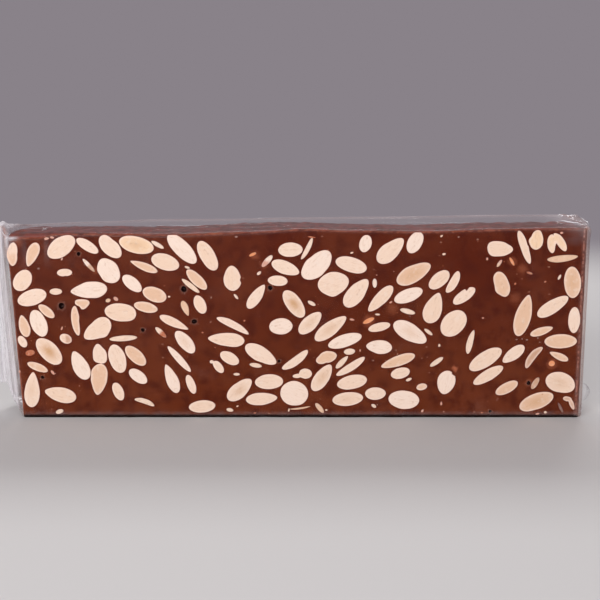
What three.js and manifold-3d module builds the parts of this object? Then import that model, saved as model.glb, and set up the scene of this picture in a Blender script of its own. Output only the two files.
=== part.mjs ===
// Bar of chocolate nougat with whole almonds, standing on its long narrow side in a clear film wrap.
// Millimetres, +Z up. The broad cut face, where the almonds show in section, looks towards -Y.
import * as THREE from 'three';
import { mergeVertices } from 'three/addons/utils/BufferGeometryUtils.js';
import Module from 'manifold-3d';

const wasm = await Module();
wasm.setup();

// Driving dimensions of the bar, before its film
const BAR_LENGTH = 301;
const BAR_DEPTH = 40;
const BAR_HEIGHT = 101;
const LEAN = 0.023;            // both ends lean towards -X by this much for each millimetre of height
const TOP_RISE = 3.2;          // the +X end is this much taller than the -X end
const CHAMFER = 1.3;           // the long edges and the ends' edges are bevelled by this much
const STATIONS = 48;           // cross-sections along the bar
const TOP_STEPS = 8;           // faces across its top
const FRONT = -BAR_DEPTH / 2;  // Y of the cut face
const GAP = 0.3;               // between any two pieces

// Long swells of the top: place along X, rise, and reach to each side
const TOP_SWELLS = [[-64, -0.9, 26], [4, 1.2, 14], [68, -0.8, 24]];

// Almonds under the top surface raise it in low bumps, in rows along the bar
const BUMP_COLUMNS = 19;
const BUMP_ROWS = 3;
const BUMP_SPREAD = [0.2, 0.8];  // where in its own cell of the rows a bump's middle may lie
const BUMP_HEIGHT = [0.5, 1.3];
const BUMP_RADIUS = [5, 8];
const BUMP_FRONT_FADE = 8;     // over this depth from the front edge the bumps rise to their full height
const BUMP_BACK_FADE = 6;      // over this depth to the back edge they lose BUMP_BACK_LOSS of it
const BUMP_BACK_LOSS = 0.6;
const BUMP_SEED = 41;

// Almonds: a section shows at the cut face and the kernel goes on behind it
const PIECE_COUNT = 57;        // the largest kernels are pieces of their own, the rest are part of the mass
const KERNEL_SIDES = 12;
const KERNEL_DEPTH = 2;        // a kernel goes this deep, and KERNEL_DEPTH_SHARE of its width deeper
const KERNEL_DEPTH_SHARE = 0.35;
const KERNEL_ROUNDING = [[0, 0], [0.5, 0.05], [1, 0.26]];  // shares of its depth, and of its width drawn in
const FUSED_SIDES = [[9, 10], [3.4, 8], [0, 6]];  // sections of the mass from this length have this many sides
const STAND_PROUD = 0.5;       // how far kernels and chips that are part of the mass stand out of the cut face
const ROOT = 1;                // how far these reach into the mass
const CUT_CLEAR = 2;           // pockets and pits are cut from this far in front of the cut face

// Sections at the cut face. Each row holds the middle's X (from X_MARK) and Z, the length, the width, the
// turn in degrees from +X of the end that may be pointed, how pointed that end is (0 to 1), and the bend in
// degrees of the long axis (positive where its middle bows to the left). The last two are left out where 0.
const X_MARK = 150 - BAR_LENGTH / 2;  // X of the place that is 150 mm inside the -X end
const SECTIONS = [
  // lower left
  [-144.2, 15.1, 20.3, 9.6, 83, 0.5], [-129.2, 12.4, 17.4, 9.8, 166, 0.4], [-140.4, 27.9, 11.9, 4.6, -23],
  [-133.7, 36.6, 18.0, 10.3, -49], [-143.9, 35.8, 5.4, 3.4, 15], [-147.5, 42.0, 7.0, 4.6, -65],
  [-117.6, 28.8, 17.2, 9.8, 112, 0.4], [-107.9, 20.7, 17.9, 9.6, -99, 0.4], [-106.9, 35.6, 11.2, 8.4, 100, 0.4],
  [-124.4, 43.6, 7.0, 5.4, -30], [-130.2, 2.8, 4.6, 2.6, 20],
  [-97.5, 32.6, 16.6, 9.3, 105], [-87.7, 34.2, 14.4, 7.4, -46], [-93.8, 43.8, 15.4, 3.3, 4],
  [-86.9, 22.8, 11.6, 6.7, -39], [-97.9, 14.2, 11.0, 5.9, 110], [-83.9, 8.2, 11.6, 3.0, -20, 0, 40],
  [-68.9, 21.4, 17.6, 7.6, 110, 0.5], [-58.6, 18.2, 11.4, 4.8, 108], [-64.4, 32.3, 19.0, 4.0, -50],
  [-61.1, 41.9, 14.3, 7.4, -51], [-73.8, 47.1, 8.0, 2.9, -45], [-52.9, 5.7, 15.0, 7.2, 5],
  // middle left
  [-146.0, 50.5, 12.4, 6.6, 100, 0.4], [-138.2, 52.0, 15.6, 8.8, 107], [-107.3, 48.7, 16.8, 11.0, 214, 0.35],
  [-118.4, 53.2, 16.2, 4.3, 94, 0, 25], [-145.1, 75.1, 12.8, 9.2, 55],
  [-140.7, 66.0, 16.4, 8.7, 18], [-128.1, 69.2, 7.0, 3.6, 2], [-133.6, 58.6, 10.6, 5.0, -41],
  [-111.2, 70.0, 19.5, 9.9, 185, 0.45], [-114.6, 62.9, 7.6, 4.6, 0], [-94.8, 58.0, 16.8, 10.0, -6],
  [-87.9, 73.6, 12.6, 6.8, -42], [-76.3, 67.6, 13.2, 8.2, -20], [-81.2, 60.8, 13.2, 5.8, -13],
  [-66.6, 52.4, 17.2, 5.6, -26, 0.5], [-60.4, 60.2, 9.0, 4.2, -70, 0.5], [-52.6, 62.2, 10.9, 6.3, 112],
  [-57.3, 72.3, 11.8, 2.8, -39], [-54.0, 75.6, 14.6, 6.0, -46], [-100.9, 64.4, 3.0, 2.2, 20],
  [-96.8, 65.3, 3.0, 2.2, -40],
  // upper left
  [-149.0, 89.0, 12.8, 5.4, 83], [-139.2, 88.8, 13.8, 6.9, 247, 0.45], [-123.9, 92.8, 16.5, 10.0, 36],
  [-110.2, 93.5, 13.2, 5.6, -33], [-122.9, 79.3, 8.3, 4.3, 2], [-110.1, 83.2, 9.3, 2.3, -49],
  [-98.4, 92.6, 14.6, 8.4, -45], [-84.8, 93.9, 18.6, 9.2, -14], [-73.8, 94.0, 7.6, 2.4, -31],
  [-61.2, 91.9, 20.6, 8.6, -47], [-70.2, 84.9, 15.4, 8.8, -17], [-81.4, 82.6, 15.6, 5.0, 158, 0.5],
  [-99.7, 80.3, 14.8, 10.4, 122], [-58.8, 82.1, 3.0, 1.4, -20], [-48.2, 88.6, 16.6, 8.2, 118],
  // lower middle
  [-39.4, 43.2, 19.4, 8.4, 176, 0.4], [-37.6, 32.9, 11.4, 6.6, -30], [-43.6, 28.0, 8.4, 4.6, -52],
  [-47.2, 30.9, 2.4, 2.2, 0], [-21.0, 35.1, 18.4, 9.3, -31, 0.3], [-23.7, 28.9, 7.0, 2.6, -10],
  [-34.0, 23.9, 3.7, 1.7, 0], [-32.6, 15.0, 16.9, 9.4, 41, 0.3], [-16.6, 19.7, 15.8, 8.6, 3],
  [-20.7, 10.0, 17.6, 7.8, 5, 0.3], [-3.1, 13.1, 15.6, 14.3, -20], [2.9, 24.2, 7.4, 6.0, 0],
  [-1.2, 23.0, 6.0, 2.6, 5], [0.0, 4.8, 11.6, 1.1, 8, 0, -15],
  [-38.0, 3.7, 4.0, 2.2, -10], [-2.6, 31.7, 17.6, 4.8, 37, 0, -30],
  [11.8, 22.0, 17.6, 8.8, 57, 0.3], [14.0, 32.8, 11.8, 6.0, 18], [22.4, 30.6, 9.6, 3.4, 47, 0.3],
  [27.2, 28.2, 18.6, 4.4, 34, 0, -15], [28.0, 19.5, 16.6, 8.2, 12], [25.6, 9.9, 16.8, 8.0, 7],
  [40.6, 13.0, 11.6, 7.3, 0], [10.6, 4.8, 7.2, 2.8, -52], [39.9, 6.0, 3.2, 2.0, -35],
  [26.4, 36.5, 6.3, 3.6, 5],
  // centre
  [-35.5, 50.9, 19.4, 4.4, -28, 0.2, 20], [-10.1, 50.4, 12.8, 9.2, 5], [5.3, 52.2, 16.4, 8.3, 45, 0.2],
  [16.1, 49.2, 21.4, 8.5, 38, 0.3], [23.8, 42.5, 19.2, 7.2, 18], [-3.2, 62.6, 17.5, 8.6, -55],
  [-23.0, 66.5, 15.9, 6.8, 55, 0.4], [-35.4, 76.3, 13.8, 10.2, 94, 0.3], [-33.6, 66.5, 3.6, 1.5, -50],
  [-11.6, 75.0, 10.7, 5.8, -5], [6.1, 62.9, 4.8, 2.2, -30],
  [36.3, 53.5, 6.8, 2.6, 26], [29.2, 67.9, 17.7, 10.0, 52, 0.3],
  [42.3, 65.3, 17.8, 7.4, 227, 0.35], [39.1, 73.7, 5.1, 2.5, 92], [17.4, 73.5, 16.2, 12.6, 12],
  [42.1, 39.1, 14.4, 8.4, 175, 0.3], [42.0, 50.0, 12.2, 4.9, 14],
  // upper middle
  [-24.6, 88.9, 4.2, 1.7, 25], [-17.1, 85.4, 8.4, 3.0, 48], [-21.4, 79.0, 2.8, 1.7, 40],
  [-5.0, 91.4, 13.2, 7.8, 3], [-7.6, 81.9, 15.8, 7.6, -22, 0.2], [3.7, 91.9, 13.0, 2.6, 63, 0, -20],
  [8.6, 83.0, 18.0, 11.7, 46], [26.4, 83.6, 16.4, 8.2, -15], [33.9, 94.6, 9.6, 6.6, 75],
  [46.8, 90.8, 17.3, 10.6, 44, 0.4],
  // lower right
  [58.1, 47.3, 19.4, 10.1, -30, 0.2], [52.4, 31.3, 19.3, 6.6, 200, 0.3], [53.8, 24.5, 10.6, 6.4, 15],
  [58.4, 20.9, 3.6, 1.8, 25], [65.5, 16.8, 6.0, 4.0, 12], [56.1, 9.5, 17.3, 10.7, -5],
  [68.1, 47.3, 5.8, 2.0, -38], [73.0, 30.8, 8.6, 2.8, 36], [78.5, 19.2, 13.6, 10.9, 260, 0.3],
  [90.6, 41.8, 13.6, 3.8, 78, 0.3, 15], [99.1, 32.3, 19.8, 8.8, 33], [101.0, 23.4, 18.8, 6.4, 32],
  [111.3, 16.2, 13.4, 6.2, 30], [113.8, 35.1, 13.4, 7.4, 220, 0.3], [124.6, 33.4, 15.0, 4.2, 55, 0, 50],
  [138.5, 42.2, 17.8, 8.1, 0], [138.2, 33.9, 11.4, 4.4, 156, 0.4], [134.6, 29.9, 3.6, 3.4, 0],
  [139.7, 19.4, 16.4, 11.6, -18], [126.4, 18.8, 7.6, 3.2, 62], [127.7, 8.6, 18.6, 9.4, 22],
  [144.4, 10.0, 5.2, 3.0, -12], [146.7, 7.4, 8.0, 2.6, -66], [141.0, 5.0, 6.5, 1.5, -62],
  [128.0, 47.7, 12.8, 4.9, 19, 0.3],
  // upper right
  [59.5, 95.2, 12.4, 7.9, 62], [59.0, 78.5, 19.2, 9.9, 28, 0.2], [56.9, 67.1, 16.2, 7.4, 22],
  [56.8, 58.5, 8.6, 2.9, -15], [72.8, 75.5, 13.2, 7.8, 43], [80.0, 74.2, 13.2, 4.8, 63, 0, -35],
  [70.3, 60.3, 17.4, 11.2, 72, 0.5], [86.2, 66.9, 14.0, 6.2, 37], [81.2, 52.0, 16.4, 12.4, 52],
  [104.0, 91.8, 13.4, 8.6, -3, 0.2], [103.8, 84.2, 4.6, 1.8, 58], [105.5, 73.4, 13.9, 7.7, 110],
  [117.9, 56.4, 23.7, 9.7, 78, 0.4], [144.9, 53.8, 14.8, 6.5, 92], [116.5, 92.1, 17.6, 4.0, -68],
  [122.3, 96.2, 9.8, 7.5, 95], [130.4, 94.6, 10.6, 4.4, 95, 0, 25], [134.6, 95.6, 12.2, 4.4, -54, 0, 15],
  [136.5, 86.9, 16.4, 4.0, 6, 0.2, -10], [142.6, 74.1, 17.5, 9.1, 97], [132.9, 61.0, 17.9, 8.0, 34, 0.2],
  [110.3, 85.2, 5.2, 1.6, -58], [119.8, 79.1, 3.4, 1.3, -18], [135.6, 76.9, 3.2, 1.4, 65],
].map(([x, z, length, width, turn, tip = 0, bend = 0]) => (
  { x: x + X_MARK, z, length, width, turn, tip, bend }
));

// Air bubbles that the cut has opened: X (from X_MARK), Z and radius
const PITS = [
  [-138.1, 22.2, 0.9], [-115.0, 89.2, 1.0], [-125.6, 61.5, 1.6], [-83.3, 48.4, 1.0], [-60.9, 70.5, 1.5],
  [-55.9, 53.0, 1.3], [-15.6, 71.2, 1.2], [-11.2, 31.2, 0.8], [122.9, 19.0, 1.1], [103.0, 2.9, 0.8],
];
const PIT_SIDES = 6;
const PIT_FLARE = 0.1;         // growth of a pit's mouth for each millimetre in front of the cut face
const PIT_TAPER = 0.6;         // share of its radius that a pit loses over its depth

// Clear film wrap: a sleeve with a fin where each end is sealed
const FILM = 0.4;              // wall, thicker than real film so that the solid holds together
const FILM_STEPS = [20, 4, 1]; // faces along, across and up
const FILM_FRONT_GAP = 0.9;    // the film's front edge clears the chips that stand proud
const FILM_LIFT = [0, 2.2];    // how far the film rises over the bumps at the back, at the -X and +X end
const FILM_SLACK = 0.25;       // share of the depth over which the film rises to clear the bumps
const FILM_RIM = 1.6;          // the solid stops this far inside the edge of the cut face
const WINDOW_REACH = [-5, 1];  // the opening is cut from in front of the cut face to behind it
const OVERHANG_RIGHT = 1.9;    // the sleeve keeps its full depth this far beyond the +X end of the bar
const TENT_LEFT = 12;          // from the sleeve's -X end to the ridge where front and back film meet
const TENT_RIGHT = 0.9;        // the same at its +X end
const RIDGE_LEFT = [5, 102];   // lowest and highest point of each ridge
const RIDGE_RIGHT = [12, 96];
const RIDGE_HALF = 1.1;
const RIDGE_WALL = 0.28;       // the film's wall at a ridge, measured across it
const FIN_INSET = 1;           // a fin is this much shorter than its ridge at the top and at the bottom
const FIN_FOOT = 8;            // the left fin starts this much higher still
const FIN_WALL = 0.7;
const FIN_ROOT = 0.3;          // how far the left fin reaches into its ridge
const FIN_WIDTH = 6;
const FIN_PLEAT = 0.8;         // height of the left fin's pleats, to each side
const FIN_PLEATS = 2;
const FIN_TWIST = 3;           // radians by which the pleats shift from the fin's foot to its top
const FIN_EAR = 3;             // how far the left fin's outer top corner stands up
const FIN_FOLD = 14;           // the right fin lies folded back along the end
const FOLD_START = -0.5;       // Y of its root
const FOLD_BULGE = 0.9;

// ---------------------------------------------------------------------------------------------
// Solids

function seededDraw(seed) {
  let state = seed;
  return () => {
    state = (state * 1664525 + 1013904223) % 2 ** 32;
    return state / 2 ** 32;
  };
}

function closedGeometry(geometry) {
  geometry.deleteAttribute('normal');
  geometry.deleteAttribute('uv');
  return mergeVertices(geometry);
}

// A box of steps[0] x steps[1] x steps[2] faces, each corner of it, given as fractions, moved to its place.
function shapedBox(steps, place) {
  const geometry = new THREE.BoxGeometry(1, 1, 1, ...steps);
  const corners = geometry.attributes.position;
  const fraction = (value, count) => Math.round((value + 0.5) * count) / count;
  for (let i = 0; i < corners.count; i += 1) {
    const at = [corners.getX(i), corners.getY(i), corners.getZ(i)].map((value, k) => fraction(value, steps[k]));
    corners.setXYZ(i, ...place(...at));
  }
  return closedGeometry(geometry);
}

// A solid through rings of equally many [x, y, z] points. flat turns a point of the first ring into the
// plane in which that ring runs counterclockwise, seen from outside the solid.
function ringStack(rings, flat) {
  const sides = rings[0].length;
  const last = (rings.length - 1) * sides;
  const index = [];
  const outline = rings[0].map((point) => new THREE.Vector2(...flat(point)));
  for (const [a, b, c] of THREE.ShapeUtils.triangulateShape(outline, [])) {
    index.push(a, b, c, last + c, last + b, last + a);
  }
  for (let start = 0; start < last; start += sides) {
    for (let i = 0; i < sides; i += 1) {
      const near = [start + i, start + ((i + 1) % sides)];
      const far = near.map((corner) => corner + sides);
      index.push(near[0], far[0], far[1], near[0], far[1], near[1]);
    }
  }
  const geometry = new THREE.BufferGeometry();
  geometry.setAttribute('position', new THREE.Float32BufferAttribute(rings.flat(2), 3));
  geometry.setIndex(index);
  return geometry;
}

function toManifold(geometry) {
  return new wasm.Manifold(new wasm.Mesh({
    numProp: 3,
    vertProperties: new Float32Array(geometry.attributes.position.array),
    triVerts: new Uint32Array(geometry.index.array),
  }));
}

function toGeometry(manifold) {
  const { vertProperties, triVerts } = manifold.getMesh();
  const geometry = new THREE.BufferGeometry();
  geometry.setAttribute('position', new THREE.BufferAttribute(vertProperties, 3));
  geometry.setIndex(new THREE.BufferAttribute(triVerts, 1));
  return geometry;
}

function joined(geometries) {
  return geometries.map(toManifold).reduce((whole, piece) => whole.add(piece));
}

// ---------------------------------------------------------------------------------------------
// Nougat mass

// Height of the top along the bar, without its bumps
function topHeight(x) {
  const swells = TOP_SWELLS.map(([place, rise, reach]) => rise * Math.exp(-(((x - place) / reach) ** 2)));
  return BAR_HEIGHT + (TOP_RISE * x) / BAR_LENGTH + swells.reduce((sum, swell) => sum + swell, 0);
}

function topBumps() {
  const draw = seededDraw(BUMP_SEED);
  const between = ([low, high]) => low + (high - low) * draw();
  const bumps = [];
  for (let column = 0; column < BUMP_COLUMNS; column += 1) {
    for (let row = 0; row < BUMP_ROWS; row += 1) {
      const x = ((column + between(BUMP_SPREAD)) / BUMP_COLUMNS - 0.5) * BAR_LENGTH;
      const y = ((row + between(BUMP_SPREAD)) / BUMP_ROWS - 0.5) * BAR_DEPTH;
      bumps.push({ x, y, height: between(BUMP_HEIGHT), radius: between(BUMP_RADIUS) });
    }
  }
  return bumps;
}

// Bumps die away towards the edges of the top, so that the cut face keeps a straight upper edge.
function bumpHeight(x, y, bumps) {
  const fromFront = THREE.MathUtils.smoothstep(y, FRONT, FRONT + BUMP_FRONT_FADE);
  const fromBack = 1 - BUMP_BACK_LOSS * THREE.MathUtils.smoothstep(y, -FRONT - BUMP_BACK_FADE, -FRONT);
  const heights = bumps.map((bump) => {
    const distance = Math.hypot(x - bump.x, y - bump.y) / bump.radius;
    return distance < 1 ? bump.height * Math.cos((distance * Math.PI) / 2) ** 2 : 0;
  });
  return fromFront * fromBack * Math.max(...heights);
}

// Cross-section at x, drawn in by inset all round: over the top to the back, down, and under to the front
function crossSection(x, inset, bumps) {
  const half = BAR_DEPTH / 2 - inset;
  const shoulder = half - CHAMFER;
  const low = inset;
  const high = topHeight(x) - inset;
  const top = Array.from({ length: TOP_STEPS + 1 }, (_, i) => {
    const y = -shoulder + (2 * shoulder * i) / TOP_STEPS;
    return [y, high + bumpHeight(x, y, bumps)];
  });
  const backTop = high + bumpHeight(x, half, bumps);
  const sides = [
    [half, backTop - CHAMFER], [half, low + CHAMFER], [shoulder, low],
    [-shoulder, low], [-half, low + CHAMFER], [-half, high - CHAMFER],
  ];
  return [...top, ...sides].map(([y, z]) => [x - LEAN * z, y, z]);
}

function nougatBlock() {
  const bumps = topBumps();
  const end = BAR_LENGTH / 2;
  const inner = end - CHAMFER;
  const full = Array.from({ length: STATIONS + 1 }, (_, i) => -inner + (2 * inner * i) / STATIONS);
  const rings = [
    crossSection(-end, CHAMFER, bumps),
    ...full.map((x) => crossSection(x, 0, bumps)),
    crossSection(end, CHAMFER, bumps),
  ];
  return ringStack(rings, ([, y, z]) => [-y, z]);
}

// ---------------------------------------------------------------------------------------------
// Almonds

// Outline of a section at the cut face as [x, z] points, counterclockwise, made larger all round by grow.
function sectionOutline({ x, z, length, width, turn, tip, bend }, grow, sides) {
  const half = length / 2 + grow;
  const curve = THREE.MathUtils.degToRad(bend) / length;
  const sag = curve === 0 ? 0 : (1 - Math.cos((curve * length) / 2)) / curve;
  const turned = THREE.MathUtils.degToRad(turn);
  return Array.from({ length: sides }, (_, i) => {
    const angle = (i / sides) * 2 * Math.PI;
    const along = half * Math.cos(angle);
    const taper = 1 - tip * ((1 + Math.cos(angle)) / 2) ** 2;
    const across = (width / 2 + grow) * Math.sin(angle) * taper;
    const swing = along * curve;
    const right = curve === 0 ? along : Math.sin(swing) / curve + across * Math.sin(swing);
    const up = curve === 0 ? across : (Math.cos(swing) - 1) / curve + across * Math.cos(swing) + sag / 2;
    return [
      x + right * Math.cos(turned) - up * Math.sin(turned),
      z + right * Math.sin(turned) + up * Math.cos(turned),
    ];
  });
}

function kernelDepth({ width }) {
  return KERNEL_DEPTH + KERNEL_DEPTH_SHARE * width;
}

// Rings of one section at several depths behind the cut face, each [depth, grow]
function sectionStack(section, levels, sides) {
  const rings = levels.map(([depth, grow]) => (
    sectionOutline(section, grow, sides).map(([x, z]) => [x, FRONT + depth, z])
  ));
  return ringStack(rings, ([x, , z]) => [x, z]);
}

function kernel(section) {
  const depth = kernelDepth(section);
  const levels = KERNEL_ROUNDING.map(([share, drawnIn]) => [share * depth, -drawnIn * section.width]);
  return sectionStack(section, levels, KERNEL_SIDES);
}

function pocket(section) {
  return sectionStack(section, [[-CUT_CLEAR, GAP], [kernelDepth(section) + GAP, GAP]], KERNEL_SIDES);
}

function proudSection(section) {
  const [, sides] = FUSED_SIDES.find(([fromLength]) => section.length >= fromLength);
  return sectionStack(section, [[-STAND_PROUD, 0], [ROOT, 0]], sides);
}

function pit([x, z, radius]) {
  const round = { x: x + X_MARK, z, length: 2 * radius, width: 2 * radius, turn: 0, tip: 0, bend: 0 };
  const levels = [[-CUT_CLEAR, PIT_FLARE * CUT_CLEAR], [0, 0], [radius, -PIT_TAPER * radius]];
  return sectionStack(round, levels, PIT_SIDES);
}

const bySize = [...SECTIONS].sort((a, b) => b.length * b.width - a.length * a.width);
const kernels = bySize.slice(0, PIECE_COUNT);
const partOfMass = bySize.slice(PIECE_COUNT);

function nougat() {
  const withChips = joined([nougatBlock(), ...partOfMass.map(proudSection)]);
  return toGeometry(withChips.subtract(joined([...kernels.map(pocket), ...PITS.map(pit)])));
}

// ---------------------------------------------------------------------------------------------
// Film wrap

// Outside of the film when inset is 0, and its inside when inset is the film's thickness.
function filmBlock(inset) {
  const lastStation = FILM_STEPS[0];
  const clear = GAP + FILM - inset;
  const front = FRONT - FILM_FRONT_GAP - FILM + inset;
  const back = -FRONT + clear;
  const left = -BAR_LENGTH / 2 - clear;
  const right = BAR_LENGTH / 2 + OVERHANG_RIGHT + clear;
  return shapedBox(FILM_STEPS, (u, v, w) => {
    const station = Math.round(u * lastStation);
    if (station === 0 || station === lastStation) {
      const [low, high] = station === 0 ? RIDGE_LEFT : RIDGE_RIGHT;
      const x = station === 0 ? left - TENT_LEFT + inset : right + TENT_RIGHT - inset;
      const height = w === 0 ? low + inset : high - inset;
      return [x - LEAN * height, (v - 0.5) * 2 * (RIDGE_HALF - (RIDGE_WALL * inset) / FILM), height];
    }
    const x = left + ((right - left) * (station - 1)) / (lastStation - 2);
    const share = (x + BAR_LENGTH / 2) / BAR_LENGTH;
    const lift = FILM_LIFT[0] + (FILM_LIFT[1] - FILM_LIFT[0]) * share;
    const overBumps = BUMP_HEIGHT[1] * Math.min(1, v / FILM_SLACK);
    const height = w === 0 ? -clear : topHeight(x) + clear + overBumps + lift * v;
    return [x - LEAN * height, front + (back - front) * v, height];
  });
}

function filmWindow() {
  return shapedBox([FILM_STEPS[0] - 2, 1, 1], (u, v, w) => {
    const x = (u - 0.5) * (BAR_LENGTH - 2 * FILM_RIM);
    const height = w === 0 ? FILM_RIM : topHeight(x) - FILM_RIM;
    return [x - LEAN * height, FRONT + WINDOW_REACH[v], height];
  });
}

// The left fin stands out from the ridge in pleats and its outer top corner stands up as an ear.
function leftFin() {
  return shapedBox([6, 1, 6], (u, v, w) => {
    const out = 1 - u;
    const low = RIDGE_LEFT[0] + FIN_INSET + FIN_FOOT;
    const high = RIDGE_LEFT[1] - FIN_INSET + FIN_EAR * out ** 2;
    const height = low + (high - low) * w;
    const x = -BAR_LENGTH / 2 - TENT_LEFT - FIN_WIDTH * out + FIN_ROOT - LEAN * height;
    const pleat = FIN_PLEAT * Math.sin(out * FIN_PLEATS * 2 * Math.PI + FIN_TWIST * w);
    return [x, pleat * Math.min(1, 3 * out) + (v - 0.5) * FIN_WALL, height];
  });
}

// The right fin is folded back against the end.
function rightFin() {
  return shapedBox([1, 4, 4], (u, v, w) => {
    const [low, high] = [RIDGE_RIGHT[0] + FIN_INSET, RIDGE_RIGHT[1] - FIN_INSET];
    const height = low + (high - low) * w;
    const root = BAR_LENGTH / 2 + OVERHANG_RIGHT + TENT_RIGHT - LEAN * height;
    const fold = FOLD_BULGE * Math.sin(v * Math.PI);
    return [root + fold + u * FIN_WALL, FOLD_START + v * FIN_FOLD, height];
  });
}

function filmWrap() {
  const sleeve = toManifold(filmBlock(0)).subtract(joined([filmBlock(FILM), filmWindow()]));
  return toGeometry(sleeve.add(joined([leftFin(), rightFin()])));
}

// ---------------------------------------------------------------------------------------------
// Scene graph

const NOUGAT = new THREE.MeshStandardMaterial({ color: 0x5a2a1a, roughness: 0.45, metalness: 0 });
const ALMOND = new THREE.MeshStandardMaterial({ color: 0xf0dcc2, roughness: 0.55, metalness: 0 });
const CLEAR_FILM = new THREE.MeshStandardMaterial({
  color: 0xf4f4f6, roughness: 0.1, metalness: 0, transparent: true, opacity: 0.25,
});

const bar = new THREE.Group();

function addPiece(name, geometry, material) {
  const mesh = new THREE.Mesh(geometry, material.clone());
  mesh.name = name;
  bar.add(mesh);
}

addPiece('nougat', nougat(), NOUGAT);
kernels.forEach((section, i) => addPiece(`almond_${String(i + 1).padStart(2, '0')}`, kernel(section), ALMOND));
addPiece('film_wrap', filmWrap(), CLEAR_FILM);

// The origin is the middle of the bounding box's underside.
const box = new THREE.Box3().setFromObject(bar);
const middle = box.getCenter(new THREE.Vector3());
bar.position.set(-middle.x, -middle.y, -box.min.z);

export default bar;
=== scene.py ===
import math
import random

import bpy
import numpy as np
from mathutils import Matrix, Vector, noise
from mathutils.bvhtree import BVHTree
from mathutils.kdtree import KDTree


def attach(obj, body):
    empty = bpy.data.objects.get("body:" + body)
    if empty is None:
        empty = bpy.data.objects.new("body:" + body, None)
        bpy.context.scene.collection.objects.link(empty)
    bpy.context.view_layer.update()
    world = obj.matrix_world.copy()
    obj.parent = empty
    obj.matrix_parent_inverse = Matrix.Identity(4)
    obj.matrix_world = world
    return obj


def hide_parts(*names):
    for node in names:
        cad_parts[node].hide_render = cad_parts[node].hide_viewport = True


# A bar of chocolate nougat with whole almonds, standing on its long narrow side in a clear film wrap.
# Everything is worked out in millimetres, in the frame of the solids, and scaled by MM at the end.
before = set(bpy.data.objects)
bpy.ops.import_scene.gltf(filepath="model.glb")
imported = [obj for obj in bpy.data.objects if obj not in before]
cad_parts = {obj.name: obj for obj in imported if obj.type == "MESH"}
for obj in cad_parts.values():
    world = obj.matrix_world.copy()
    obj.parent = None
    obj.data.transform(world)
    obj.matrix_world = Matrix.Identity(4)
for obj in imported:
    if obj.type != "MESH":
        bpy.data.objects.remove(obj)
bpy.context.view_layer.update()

MM = 0.001

# Cut face of the solids
PROUD_IN_CAD = 0.5            # chips that are part of the mass stand this far out of the cut face
LEVEL = 0.02                  # points this close to a plane lie on it
PIT_DEPTHS = (0.6, 1.9)       # the floors of the pits lie this deep, those of the pockets deeper
MARK = 150                    # places along the bar are measured from this far inside its -X end
NOMINAL = 101.0               # height of the lattices before they are stretched to the top
OUTSIDE = 150                 # rays that look for a surface start here, clear of the part

# Camera
LENS = 50.0
SENSOR = 36.0
CAMERA_PITCH = 12.5           # degrees below the horizon
CAMERA_BACK = 427.6           # from the cut face
CAMERA_UP = 160.2             # over the floor

# Light and floor, in metres
BACKDROP = (0.25, 0.223, 0.25, 1)
LIGHTS = [                    # name, place, what it looks at, size and power
    ("key", (-0.6, -1.15, 0.62), (0, 0, 0.05), (0.9, 0.7), 15),
    ("fill", (0.9, -0.9, 0.45), (0, 0, 0.05), (0.8, 0.8), 4.5),
    ("top", (0.1, 0.75, 0.95), (0, 0, 0.08), (0.9, 0.4), 8),
]
FLOOR_RADIUS = 1.0
FLOOR_CORNERS = 96
FLOOR_FADE = (0.42, 0.8)      # the floor fades into the backdrop between these radii

# Nougat mass
GRID = 1.35                   # spacing of the lattice
EDGE_STEPS = (0, 0.3, 0.62, 1.0)  # where a lattice has points across a rounded edge, as shares of its width
EDGE_RADIUS = (0.8, 1.7)      # the edges are worn round
FOOT_RADIUS = 0.6             # and those at the foot this many times as much
FOOT_DROP = 0.6               # the foot reaches this much under the solid's base
FOOT_DROP_FROM = 4            # below this height
TOP_BLUR = 1.6
INSIDE = 1.5                  # the solid's heights are read at least this far in from its edges
BEHIND_POCKETS = 12.0         # this far behind the cut face the top has no pocket
SUNK = 2.5                    # a top lower by this than the one behind it is a pocket's floor
FACE_RELIEF = 0.10
TOP_RELIEF = 0.65
TOP_FADE = (1.5, 11)          # the top's relief rises over this stretch behind the cut face
FADED = 0.3                   # from this share of it
EDGE_NICK = 0.55
WORN = 1.8                    # the cut face's upper edge is worn down by this much at its left end
WORN_ALONG = (-125, -134)     # over this stretch, from the mark
WORN_REACH = 8.0              # and this far back
# How far the top falls towards the back: X from the mark, and the fall
BACK_DROP = [(-84, 1.2), (-60, 0.9), (-28, 0.2), (-14, 0.4), (5, 1.4), (150, 1.6)]
MASS_SHARP = 40               # edges that bend by more than this many degrees stay sharp

# Almond sections
OUTLINE_STEP = 0.65           # between two points of an outline
OUTLINE_COUNT = (12, 76)
OUTLINE_WAVES = (2, 3, 5, 7)  # an outline is uneven in this many waves around it
OUTLINE_WEAR = 0.022          # by this share of its radius
PROUD = 0.10                  # sections stand this far out of the nougat
ROUND_OFF = (0.4, 0.22)       # a face is rounded over this width, or this share of a narrow section's
FACE_RINGS = (0.2, 0.42, 0.62, 0.8, 0.92, 1.0)  # rings of a face, as shares of its radius
FEW_RINGS = (0.4, 0.75, 1.0)  # and those of a narrow one
NARROW = 3
BODY_RINGS = [(0.5, 0.03), (0.8, 0.12), (1.0, 0.26)]  # share of the depth, and narrower by this share
RIM_DEPTH = (0.35, 0.5)       # the outline keeps its width this deep, or this share of a shallow one's
UNDER_EDGE = 0.5              # sections end this far under the cut face's upper edge
POCKET_GAP = 0.05
POCKET_DEEPER = 0.1
KERNEL_DEPTH = 2.0
KERNEL_DEPTH_SHARE = 0.35
CHIP_DEPTH = 1.6
SAME_PLACE = 2.6              # a row below speaks of the section whose middle is this near
CORE_REACH = (0.24, 0.26)     # of a kernel's dark core, as a share of its length and width
SMALL = 3.9                   # narrower sections have no pale rim
NO_RIM = 2.0
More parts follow.
